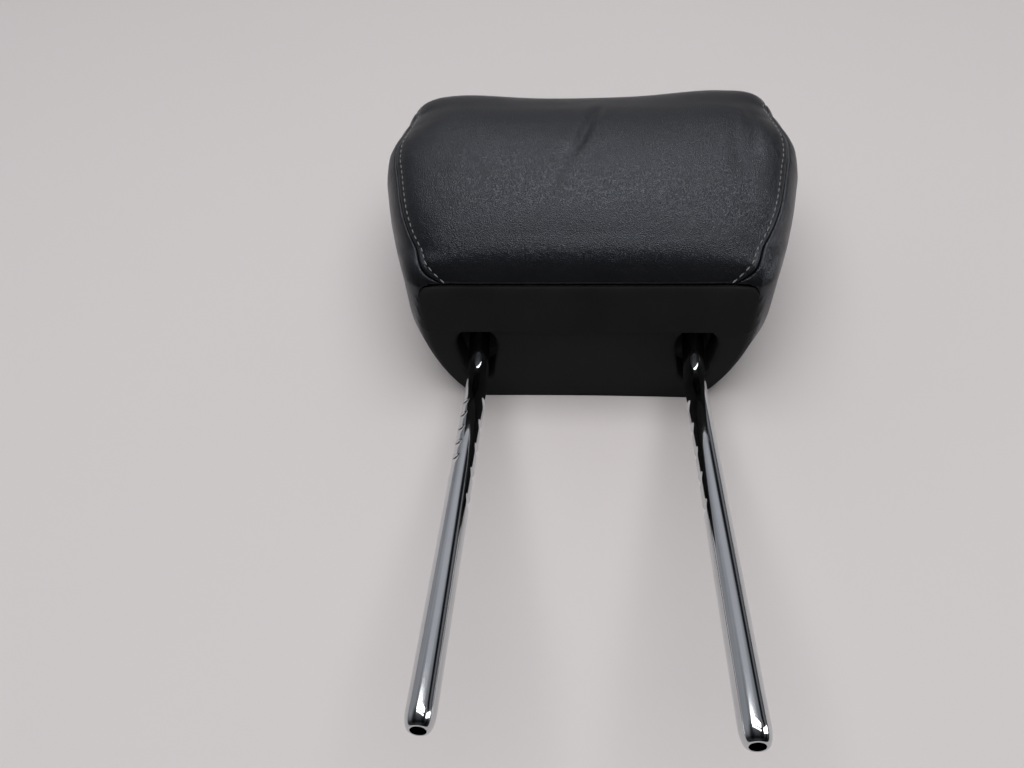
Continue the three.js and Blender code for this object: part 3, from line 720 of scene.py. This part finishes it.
def extraFullness(points):
    full = fullness
    x, y, z = np.abs(points[:, 0]), points[:, 1], points[:, 2]
    outwards = np.interp(y, full["flankY"], full["flankOut"]) + full["toRight"] * np.sign(points[:, 0])
    flank = outwards * smoothStep(x, *full["flankReach"])
    corner = full["topMiddle"] + (full["topCorner"] - full["topMiddle"]) * smoothStep(x, *full["topReach"])
    return flank + corner * smoothStep(y, *full["topFrom"]) * smoothStep(z, 30, 60)


def spacedAxis(*runs):
    # An axis from runs of (start, end, steps)
    parts = [np.linspace(start, end, steps, endpoint=False) for start, end, steps in runs]
    return np.concatenate([*parts, [runs[-1][1]]])


farEnd = 8 * crownSteps  # from here the section runs down to the table
rearSeamShare = float(np.interp(-borders["rearSeamHeight"], -sectionPath[farEnd:, 1],
                                sectionRuns[farEnd:])) / sectionLength


def finishPanel(piece, node):
    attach(piece, "pad")
    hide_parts(node)
    return piece


def makeCentrePanel(name, node, sAxis, levelOfHeight):
    def values(s, u):
        q = u * seamShare(s)
        points = formPoint(s, q)
        seam = seamDistance(s, q) - borders["gap"]
        return np.minimum(np.minimum(seam, levelOfHeight(points)), coverDistance(points))

    uAxis = spacedAxis((-1, -0.9, 22), (-0.9, 0.9, 116), (0.9, 1, 22))
    places, faces = clipGrid(sAxis, uAxis, values)
    s = places[:, 0]
    q = places[:, 1] * seamShare(s)
    points = formPoint(s, q)
    distance = np.minimum(seamDistance(s, q) - borders["gap"], levelOfHeight(points))
    outer, inner = coverWalls(s, q, distance, "middle")
    return finishPanel(newPiece(name, *closeShell(outer, inner, faces), leather), node)


def aboveRearSeam(points):
    low = points[..., 1] < padForm["coreY"]
    return np.where(low, 1e3, points[..., 2] - borders["rearSeamHeight"] - borders["gap"])


def belowRearSeam(points):
    return borders["rearSeamHeight"] - borders["gap"] - points[..., 2]


frontAxis = spacedAxis((bandShare - 0.004, bandShare + 0.012, 14),
                       (bandShare + 0.012, rearSeamShare - 0.02, 118),
                       (rearSeamShare - 0.02, rearSeamShare + 0.012, 20))
rearAxis = spacedAxis((rearSeamShare - 0.012, rearSeamShare + 0.02, 20),
                      (rearSeamShare + 0.02, backShare + 0.01, 30),
                      (backShare + 0.01, 0.97, 60), (0.97, 1.0, 24))
frontPanel = makeCentrePanel("front_leather", "front_panel", frontAxis, aboveRearSeam)
rearPanel = makeCentrePanel("rear_leather", "rear_panel", rearAxis, belowRearSeam)
print("centre panels:", len(frontPanel.data.polygons), len(rearPanel.data.polygons), "faces")


def makeSidePanel(name, node, side):
    def shareAt(s, u):
        return side * (seamShare(s) + (1 - seamShare(s)) * u)

    def values(s, u):
        q = shareAt(s, u)
        return np.minimum(-seamDistance(s, q) - borders["gap"], coverDistance(formPoint(s, q)))

    uAxis = spacedAxis((0, 0.2, 20), (0.2, 1, 26))
    sAxis = spacedAxis((0, footShare, 20), (footShare, bandShare + 0.02, 40),
                       (bandShare + 0.02, backShare, 150), (backShare, 1, 70))
    if side < 0:
        uAxis = uAxis[::-1]
    places, faces = clipGrid(sAxis, uAxis, values)
    s = places[:, 0]
    q = shareAt(s, places[:, 1])
    distance = -seamDistance(s, q) - borders["gap"]
    outer, inner = coverWalls(s, q, distance, "side")
    return finishPanel(newPiece(name, *closeShell(outer, inner, faces), leather), node)


makeSidePanel("side_leather_left", "side_panel_left", -1)
makeSidePanel("side_leather_right", "side_panel_right", 1)
print("side panels made")


# Lower trim: front band, ledge, recessed underside and the two slots

trimSettings = {
    "inset": 0.6,
    "wall": 2.5,
    "ledge": (0.9, 1.5),  # depth at the ends, and how much more in the middle
    "ledgeZ": 63.5,
    "edgeRoll": 1.5,
    "slotRoll": 2.2,
    "slotFront": (51.0, 13.0),
    "slotRear": (26.5, 9.5),
    "slotX": 70.0,
    "collarWall": 2.0,
    "collarTop": 28.5,
    "clip": {"x": 30.0, "z": 45.0, "width": 16.0, "thickness": 3.0, "from": 15.0, "belowAxis": 32.3},
}


def slotDistance(points):
    # Above zero outside the slots, each a wide round end and a narrow one
    trim = trimSettings
    frontZ, frontRadius = trim["slotFront"]
    rearZ, rearRadius = trim["slotRear"]
    x = np.abs(np.abs(points[..., 0]) - trim["slotX"])
    z = points[..., 2] - rearZ
    length = frontZ - rearZ
    lean = (rearRadius - frontRadius) / length
    rise = math.sqrt(1 - lean * lean)
    along = -x * lean + z * rise
    beside = x * rise + z * lean - rearRadius
    distance = np.where(along < 0, np.hypot(x, z) - rearRadius, beside)
    return np.where(along > rise * length, np.hypot(x, z - length) - frontRadius, distance)


def makeTrim():
    trim = trimSettings

    def surface(s, q):
        return formPoint(s, q) - trim["inset"] * formNormal(s, q)

    def outlineDistance(points):
        return np.minimum(-planeDistance(points) - borders["gap"], -plateDistance(points))

    def values(s, q):
        points = surface(s, q)
        return np.minimum(outlineDistance(points), slotDistance(points))

    sAxis = spacedAxis((-0.03, 0, 14), (0, 0.018, 8), (0.018, footShare - 0.006, 56),
                       (footShare - 0.006, footShare + 0.003, 16),
                       (footShare + 0.003, bandShare - 0.006, 26),
                       (bandShare - 0.006, bandShare + 0.002, 14))
    qAxis = spacedAxis((-1, -0.7, 16), (-0.7, -0.5, 16), (-0.5, -0.3, 60), (-0.3, 0.3, 60),
                       (0.3, 0.5, 60), (0.5, 0.7, 16), (0.7, 1, 16))
    places, faces = clipGrid(sAxis, qAxis, values)
    s, q = places[:, 0], places[:, 1]
    points, normals = surface(s, q), formNormal(s, q)
    edge = np.clip(outlineDistance(points), 0, None)
    slot = np.clip(slotDistance(points), 0, None)
    underLedge = 1 - smoothStep(points[:, 2], trim["ledgeZ"] - 0.7, trim["ledgeZ"] + 0.5)
    ends = np.clip(np.abs(points[:, 0]) / borders["trimHalfWidth"], 0, 1)
    ledge = (trim["ledge"][0] + trim["ledge"][1] * (1 - ends ** 2)) * underLedge
    lip = rolledEdge(slot, trim["slotRoll"]) * (1 - smoothStep(points[:, 2], 61, 63.5))
    outer = points - rolledEdge(edge, trim["edgeRoll"])[:, None] * normals
    outer[:, 1] += ledge + lip
    inner = points - trim["wall"] * normals
    inner[:, 1] = np.maximum(inner[:, 1], outer[:, 1] + 1.0)
    nearSlot = 1 - smoothStep(slot, trim["collarWall"] - 0.3, trim["collarWall"] + 0.3)
    inner[:, 1] += (trim["collarTop"] - inner[:, 1]) * nearSlot
    allPoints, allFaces = closeShell(outer, inner, faces)
    piece = newPiece("lower_trim", allPoints, allFaces, trimPlastic)
    addClips(piece)
    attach(piece, "pad")
    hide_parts("base_trim")
    print("trim:", len(piece.data.polygons), "faces")


def addClips(piece):
    # Two flat tongues that reach up to the carrier
    clip = trimSettings["clip"]
    top = tiltAxisY - clip["belowAxis"]
    made = bmesh.new()
    made.from_mesh(piece.data)
    for side in (-1, 1):
        block = bmesh.ops.create_cube(made, size=1)["verts"]
        size = Vector((clip["width"], top - clip["from"], clip["thickness"])) / 1000
        centre = Vector(toMetres((side * clip["x"], (top + clip["from"]) / 2, clip["z"])))
        bmesh.ops.scale(made, vec=size, verts=block)
        bmesh.ops.translate(made, vec=centre, verts=block)
        edges = {edge for vert in block for edge in vert.link_edges}
        bmesh.ops.bevel(made, geom=list(edges), offset=0.0006, segments=2, affect="EDGES", profile=0.5)
    made.to_mesh(piece.data)
    made.free()


makeTrim()


# Stays: one bent tube with notched posts

staySettings = {
    "spacing": 140.0,
    "radius": 7.0,
    "bore": 5.2,
    "postLength": 240.0,
    "lift": 15.0,
    "kink": 35.0,
    "kinkRadius": 42.0,
    "kinkHeight": 31.3,
    "leg": 75.0,
    "cornerRadius": 22.0,
    "nose": 9.0,
    "mouth": 3.7,
    "lip": 0.5,
    "sides": 64,
    "plainFrom": 112.0,  # beyond this distance from the kink the post has no notches
    "notch": {"first": 24.0, "pitch": 20.7, "depth": 1.6, "shoulder": 0.9, "length": 8.6},
    "fineNotch": {"first": 27.5, "pitch": 12.6, "depth": 1.0, "shoulder": 0.3, "length": 6.6, "turn": 45.0},
    "notchCount": 5,
}


def notchDrop(distance, notch):
    # Depth of a row of sawtooth notches at a distance from the kink
    deepest = np.zeros_like(distance)
    for i in range(staySettings["notchCount"]):
        run = distance - notch["first"] - i * notch["pitch"]
        steep = np.clip(run / notch["shoulder"], 0, 1)
        ramp = np.clip(1 - (run - notch["shoulder"]) / (notch["length"] - notch["shoulder"]), 0, 1)
        deepest = np.maximum(deepest, notch["depth"] * np.minimum(steep, ramp) * (run > 0))
    return deepest


def halfStay(side):
    # Rings of one side from the tip to the middle of the cross bar, each with its place, direction,
    # upward direction, radius and distance from the kink
    stay = staySettings
    lift, legAngle = math.radians(stay["lift"]), math.radians(stay["kink"] - stay["lift"])
    x = side * stay["spacing"] / 2
    rings = []
    postDirection = np.array([0, math.cos(lift), -math.sin(lift)])
    legDirection = np.array([0, math.cos(legAngle), math.sin(legAngle)])
    kink = np.array([x, 0, stay["kinkHeight"]])
    tangent = stay["kinkRadius"] * math.tan(math.radians(stay["kink"]) / 2)

    def upOf(direction):
        return np.array([0, -direction[2], direction[1]])

    run = np.concatenate([
        stay["postLength"] - stay["nose"] * (1 - np.sin(np.linspace(0, math.pi / 2, 12))),
        np.linspace(stay["postLength"] - stay["nose"], stay["plainFrom"], 14)[1:],
        notchStops(),
    ])
    run = np.unique(np.round(np.concatenate([run, [tangent]]), 4))[::-1]
    run = run[run >= tangent - 1e-6]
    for distance in run:
        place = kink - postDirection * distance
        short = stay["postLength"] - distance
        radius = stay["radius"]
        if short < stay["nose"]:
            drop = 1 - short / stay["nose"]
            narrow = stay["mouth"] + stay["lip"]
            radius = narrow + (stay["radius"] - narrow) * math.sqrt(max(0, 1 - drop ** 2.2))
        rings.append((place, postDirection, upOf(postDirection), radius, distance))
    centre = kink + upOf(postDirection) * stay["kinkRadius"] - postDirection * tangent
    for angle in np.radians(np.linspace(0, stay["kink"], 15)[1:]):
        turned = math.radians(-stay["lift"]) + angle
        direction = np.array([0, math.cos(turned), math.sin(turned)])
        up = upOf(direction)
        rings.append((centre - up * stay["kinkRadius"], direction, up, stay["radius"], 0))
    legEnd = stay["leg"] - stay["cornerRadius"]
    up = upOf(legDirection)
    for distance in np.linspace(tangent, legEnd, 5)[1:]:
        rings.append((kink + legDirection * distance, legDirection, up, stay["radius"], 0))
    inward = np.array([-side, 0, 0])
    centre = kink + legDirection * legEnd + inward * stay["cornerRadius"]
    for angle in np.radians(np.linspace(0, 90, 19)[1:]):
        direction = legDirection * math.cos(angle) + inward * math.sin(angle)
        place = centre + stay["cornerRadius"] * (legDirection * math.sin(angle) - inward * math.cos(angle))
        rings.append((place, direction, up, stay["radius"], 0))
    return rings


def notchStops():
    # Distances from the kink at which the notches need a ring
    stay = staySettings
    stops = [np.arange(12, stay["plainFrom"], 1.2)]
    for name in ("notch", "fineNotch"):
        notch = stay[name]
        for i in range(stay["notchCount"]):
            start = notch["first"] + i * notch["pitch"]
            stops.append([start - 0.05, start + 0.02, start + notch["shoulder"], start + notch["length"]])
    return np.concatenate(stops)


def makeStays():
    stay = staySettings
    turns = 2 * math.pi * (np.arange(stay["sides"]) + 0.5) / stay["sides"]
    rows = []
    for side in (-1, 1):
        made, rings = [], halfStay(side)
        for place, direction, up, radius, distance in rings:
            lateral = np.cross(direction, up)
            a, b = radius * np.cos(turns), radius * np.sin(turns)
            if distance > 0:
                inward = -side * lateral[0]
                limit = stay["radius"] - notchDrop(np.array([distance]), stay["notch"])[0]
                a = np.sign(a) * np.where(a * inward > 0, np.minimum(np.abs(a), limit), np.abs(a))
                if side < 0:
                    turn = math.radians(stay["fineNotch"]["turn"])
                    c, d = -inward * math.cos(turn), math.sin(turn)
                    limit = stay["radius"] - notchDrop(np.array([distance]), stay["fineNotch"])[0]
                    over = np.clip(a * c + b * d - limit, 0, None)
                    a, b = a - over * c, b - over * d
            made.append(place + a[:, None] * lateral + b[:, None] * up)
        rows.append((made, rings))
    # The rings of the right side run the other way round
    outer = rows[0][0] + [row[::-1] for row in rows[1][0][::-1]]
    bores = []
    for _, rings in rows:
        inner = []
        for place, direction, up, radius, distance in rings:
            lateral = np.cross(direction, up)
            wide = stay["bore"]
            short = stay["postLength"] - distance
            if 0 < distance and short < stay["nose"]:
                wide = stay["mouth"] + (stay["bore"] - stay["mouth"]) * smoothStep(short, 1.0, stay["nose"])
            if 0 < distance < stay["plainFrom"] and round(distance, 3) % 6 > 1.2:
                continue
            inner.append(place + wide * (np.cos(turns)[:, None] * lateral + np.sin(turns)[:, None] * up))
        bores.append(inner)
    inner = bores[0] + [row[::-1] for row in bores[1][::-1]]
    allRows = outer + inner[::-1]
    points = np.vstack(allRows)
    count, sides = len(allRows), stay["sides"]
    faces = []
    for i in range(count):
        j = (i + 1) % count
        for k in range(sides):
            m = (k + 1) % sides
            faces.append([i * sides + k, j * sides + k, j * sides + m, i * sides + m])
    piece = newPiece("chrome_stays", points, faces, chrome, 28)
    tidyNormals(piece)
    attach(piece, "stays")
    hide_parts("post_tube")
    print("stays:", len(piece.data.polygons), "faces")


def tidyNormals(piece):
    made = bmesh.new()
    made.from_mesh(piece.data)
    bmesh.ops.remove_doubles(made, verts=made.verts, dist=1e-7)
    bmesh.ops.recalc_face_normals(made, faces=made.faces)
    made.to_mesh(piece.data)
    made.free()


makeStays()


# Foam core, moulded, with its edges eased

foamSettings = {"voxel": 3.0, "shrink": 2.6, "smoothing": 4}


def makeFoam():
    foam = foamSettings
    blank = bpy.data.objects.new("foam", nodes["foam_core"].data.copy())
    scene.collection.objects.link(blank)
    tidyNormals(blank)
    remesh = blank.modifiers.new("voxels", "REMESH")
    remesh.mode = "VOXEL"
    remesh.voxel_size = foam["voxel"] / 1000
    mesh = meshFromObject(blank)
    blank.modifiers.remove(remesh)
    blank.data = mesh
    made = bmesh.new()
    made.from_mesh(mesh)
    for _ in range(foam["smoothing"]):
        bmesh.ops.smooth_vert(made, verts=made.verts, factor=0.5, use_axis_x=True, use_axis_y=True,
                              use_axis_z=True)
    made.normal_update()
    shifts = [vert.normal * (-foam["shrink"] / 1000) for vert in made.verts]
    for vert, shift in zip(made.verts, shifts):
        vert.co += shift
    made.to_mesh(mesh)
    made.free()
    mesh.shade_smooth()
    mesh.materials.clear()
    mesh.materials.append(foamMaterial)
    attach(blank, "pad")
    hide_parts("foam_core")
    print("foam:", len(mesh.polygons), "faces")


makeFoam()


# Top stitching beside the two side seams

stitchSettings = {"pitch": 5.4, "length": 3.9, "thickness": 0.85, "sink": 0.12}


def makeStitchTree():
    tree = bpy.data.node_groups.new("stitches", "GeometryNodeTree")
    interface = tree.interface
    interface.new_socket("Geometry", in_out="INPUT", socket_type="NodeSocketGeometry")
    for name, value in (("Pitch", 0.005), ("Length", 0.004), ("Thickness", 0.001)):
        socket = interface.new_socket(name, in_out="INPUT", socket_type="NodeSocketFloat")
        socket.default_value = value
    interface.new_socket("Thread", in_out="INPUT", socket_type="NodeSocketMaterial")
    interface.new_socket("Geometry", in_out="OUTPUT", socket_type="NodeSocketGeometry")
    new = tree.nodes.new
    start, end = new("NodeGroupInput"), new("NodeGroupOutput")
    curve = new("GeometryNodeMeshToCurve")
    spaced = new("GeometryNodeResampleCurve")
    spaced.mode = "LENGTH"
    places = new("GeometryNodeInstanceOnPoints")
    grain = new("GeometryNodeMeshUVSphere")
    grain.inputs["Segments"].default_value = 8
    grain.inputs["Rings"].default_value = 6
    grain.inputs["Radius"].default_value = 0.5
    tangent = new("GeometryNodeInputTangent")
    align = new("FunctionNodeAlignRotationToVector")
    align.axis = "X"
    size = new("ShaderNodeCombineXYZ")
    realize = new("GeometryNodeRealizeInstances")
    smooth = new("GeometryNodeSetShadeSmooth")
    paint = new("GeometryNodeSetMaterial")
    links = [
        (start, "Geometry", curve, "Mesh"), (curve, "Curve", spaced, "Curve"),
        (start, "Pitch", spaced, "Length"),
        (spaced, "Curve", places, "Points"), (grain, "Mesh", places, "Instance"),
        (tangent, "Tangent", align, "Vector"), (align, "Rotation", places, "Rotation"),
        (start, "Length", size, "X"), (start, "Thickness", size, "Y"), (start, "Thickness", size, "Z"),
        (size, "Vector", places, "Scale"), (places, "Instances", realize, "Geometry"),
        (realize, "Geometry", smooth, "Geometry"), (smooth, "Geometry", paint, "Geometry"),
        (start, "Thread", paint, "Material"), (paint, "Geometry", end, "Geometry"),
    ]
    for source, output, target, socket in links:
        tree.links.new(source.outputs[output], target.inputs[socket])
    return tree


def setInputs(modifier, **values):
    for socket in modifier.node_group.interface.items_tree:
        if socket.item_type == "SOCKET" and socket.in_out == "INPUT" and socket.name in values:
            modifier[socket.identifier] = values[socket.name]


def makeStitches(name, side, tree):
    stitch = stitchSettings
    s = np.linspace(bandShare + 0.004, rearSeamShare, 420)
    inset = coverSettings["stitchInset"]
    at = seamShare(s)
    perShare = seamDistance(s, at * 0.9) / (at * 0.1)
    q = side * (at - inset / perShare)
    outer = coverWalls(s, q, seamDistance(s, q), "middle")[0]
    outer = outer - (stitch["sink"] - stitch["thickness"] * 0.3) * formNormal(s, q)
    mesh = bpy.data.meshes.new(name)
    mesh.from_pydata([tuple(p) for p in toMetres(outer)], [(i, i + 1) for i in range(len(outer) - 1)], [])
    path = bpy.data.objects.new(name, mesh)
    scene.collection.objects.link(path)
    modifier = path.modifiers.new("stitches", "NODES")
    modifier.node_group = tree
    setInputs(modifier, Pitch=stitch["pitch"] / 1000, Length=stitch["length"] / 1000,
              Thickness=stitch["thickness"] / 1000, Thread=thread)
    made = meshFromObject(path)
    path.modifiers.remove(modifier)
    path.data = made
    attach(path, "pad")
    print(name + ":", len(made.polygons), "faces")


stitchTree = makeStitchTree()
makeStitches("stitches_left", -1, stitchTree)
makeStitches("stitches_right", 1, stitchTree)


# Finishes of the CAD nodes that show as they are

nodeFinish = {
    nylon: ["rear_carrier", "front_carrier"],
    acetal: ["pivot_bush_left", "pivot_bush_right"],
    springSteel: ["saddle_clamp_left", "saddle_clamp_right", "locating_ring_left", "locating_ring_right"],
    zinc: ["stop_collar", *(f"{kind}_screw_{i}" for kind in ("carrier", "clamp") for i in range(1, 5))],
    stripPlastic: ["front_hook_strip", "rear_hook_strip"],
}
for finish, names in nodeFinish.items():
    for name in names:
        for materialSlot in nodes[name].material_slots:
            materialSlot.material = finish
print("CAD nodes painted")


# Floor, light and background

studio = {
    "floor": (0.868, 0.816, 0.81),
    "floorSize": 3.4,
    # Place, size, power, and whether it lights matt surfaces or shows in reflections
    "lamps": {
        "fill_lamp": ((0.0, -0.15, 2.35), (3.2, 2.6), 49.5, "light"),
        "bar_lamp": ((0.4, 2.76, 4.17), (5.0, 1.0), 128.0, "shine"),
        "thin_lamp": ((0.4, 1.83, 4.65), (5.0, 0.4), 34.0, "shine"),
        "side_lamp": ((1.7, 0.3, 0.82), (0.5, 1.1), 9.0, "shine"),
    },
    "sky": {"far": 0.5, "left": 0.36, "right": 0.3, "near": 0.05, "top": 0.1, "low": 0.15,
            "sideways": 0.12},
    "tint": (0.96, 0.99, 1.06),
    "flag": {"height": (0.28, 0.5), "level": 0.03},
}


def makeFloor():
    mesh = bpy.data.meshes.new("floor")
    half = studio["floorSize"] / 2
    corners = [(-half, -half, 0), (half, -half, 0), (half, half, 0), (-half, half, 0)]
    mesh.from_pydata(corners, [], [(0, 1, 2, 3)])
    material, tree, shader, place = newMaterial("pale_floor")
    cloud = noiseOf(tree, place, 3.0, 3.0)
    low = tuple(0.985 * c for c in studio["floor"])
    high = tuple(1.015 * c for c in studio["floor"])
    tree.links.new(mixColours(tree, cloud, low, high), shader.inputs["Base Color"])
    shader.inputs["Roughness"].default_value = 0.8
    shader.inputs["Specular IOR Level"].default_value = 0.15
    mesh.materials.append(material)
    floor = bpy.data.objects.new("floor", mesh)
    scene.collection.objects.link(floor)


def makeLamps():
    for name, (place, size, power, use) in studio["lamps"].items():
        data = bpy.data.lights.new(name, "AREA")
        data.shape = "RECTANGLE"
        data.size, data.size_y = size
        data.energy = power
        light = bpy.data.objects.new(name, data)
        light.location = place
        light.rotation_euler = (-Vector(place)).to_track_quat("-Z", "Y").to_euler()
        light.visible_glossy = use == "shine"
        light.visible_diffuse = use == "light"
        light.visible_camera = False
        scene.collection.objects.link(light)


def makeWorld():
    world = bpy.data.worlds.new("studio")
    scene.world = world
    world.use_nodes = True
    tree = world.node_tree
    background = tree.nodes["Background"]
    direction = tree.nodes.new("ShaderNodeTexCoord").outputs["Generated"]
    parts = addNode(tree, "ShaderNodeSeparateXYZ", Vector=direction)
    x, y, z = parts.outputs
    sky, flag = studio["sky"], studio["flag"]
    left = rangeOf(tree, x, -0.75, -0.15, sky["left"] / sky["far"], 1.0)
    right = rangeOf(tree, x, 0.3, 0.8, 1.0, sky["right"] / sky["far"])
    room = rangeOf(tree, y, -0.2, 0.3, sky["near"], sky["far"])
    top = rangeOf(tree, z, 0.72, 0.93, 1.0, sky["top"] / sky["far"])
    beyond = rangeOf(tree, mathOf(tree, "ABSOLUTE", x, 0.0), 0.22, 0.5)
    sideways = mathOf(tree, "MULTIPLY", beyond, rangeOf(tree, z, 0.45, 0.7))
    sideways = rangeOf(tree, sideways, 0.0, 1.0, 1.0, sky["sideways"])
    low = rangeOf(tree, z, flag["height"][0] - 0.04, flag["height"][0] + 0.04)
    high = rangeOf(tree, z, flag["height"][1] - 0.04, flag["height"][1] + 0.04, 1.0, 0.0)
    beside = rangeOf(tree, x, 0.1, 0.3)
    shade = mathOf(tree, "MULTIPLY", mathOf(tree, "MULTIPLY", low, high), beside)
    level = mathOf(tree, "MULTIPLY", room, rangeOf(tree, shade, 0.0, 1.0, 1.0, flag["level"]))
    horizon = mathOf(tree, "MAXIMUM", rangeOf(tree, z, 0.03, 0.5, sky["low"] / sky["far"], 1.0),
                     rangeOf(tree, x, -0.7, -0.4, 0.9, 0.0))
    for share in (left, right, top, horizon, sideways):
        level = mathOf(tree, "MULTIPLY", level, share)
    tinted = tree.nodes.new("ShaderNodeVectorMath")
    tinted.operation = "SCALE"
    tinted.inputs[0].default_value = studio["tint"]
    tree.links.new(level, tinted.inputs["Scale"])
    tree.links.new(tinted.outputs[0], background.inputs["Color"])
    background.inputs["Strength"].default_value = 1.0


makeFloor()
makeLamps()
makeWorld()
print("studio made")
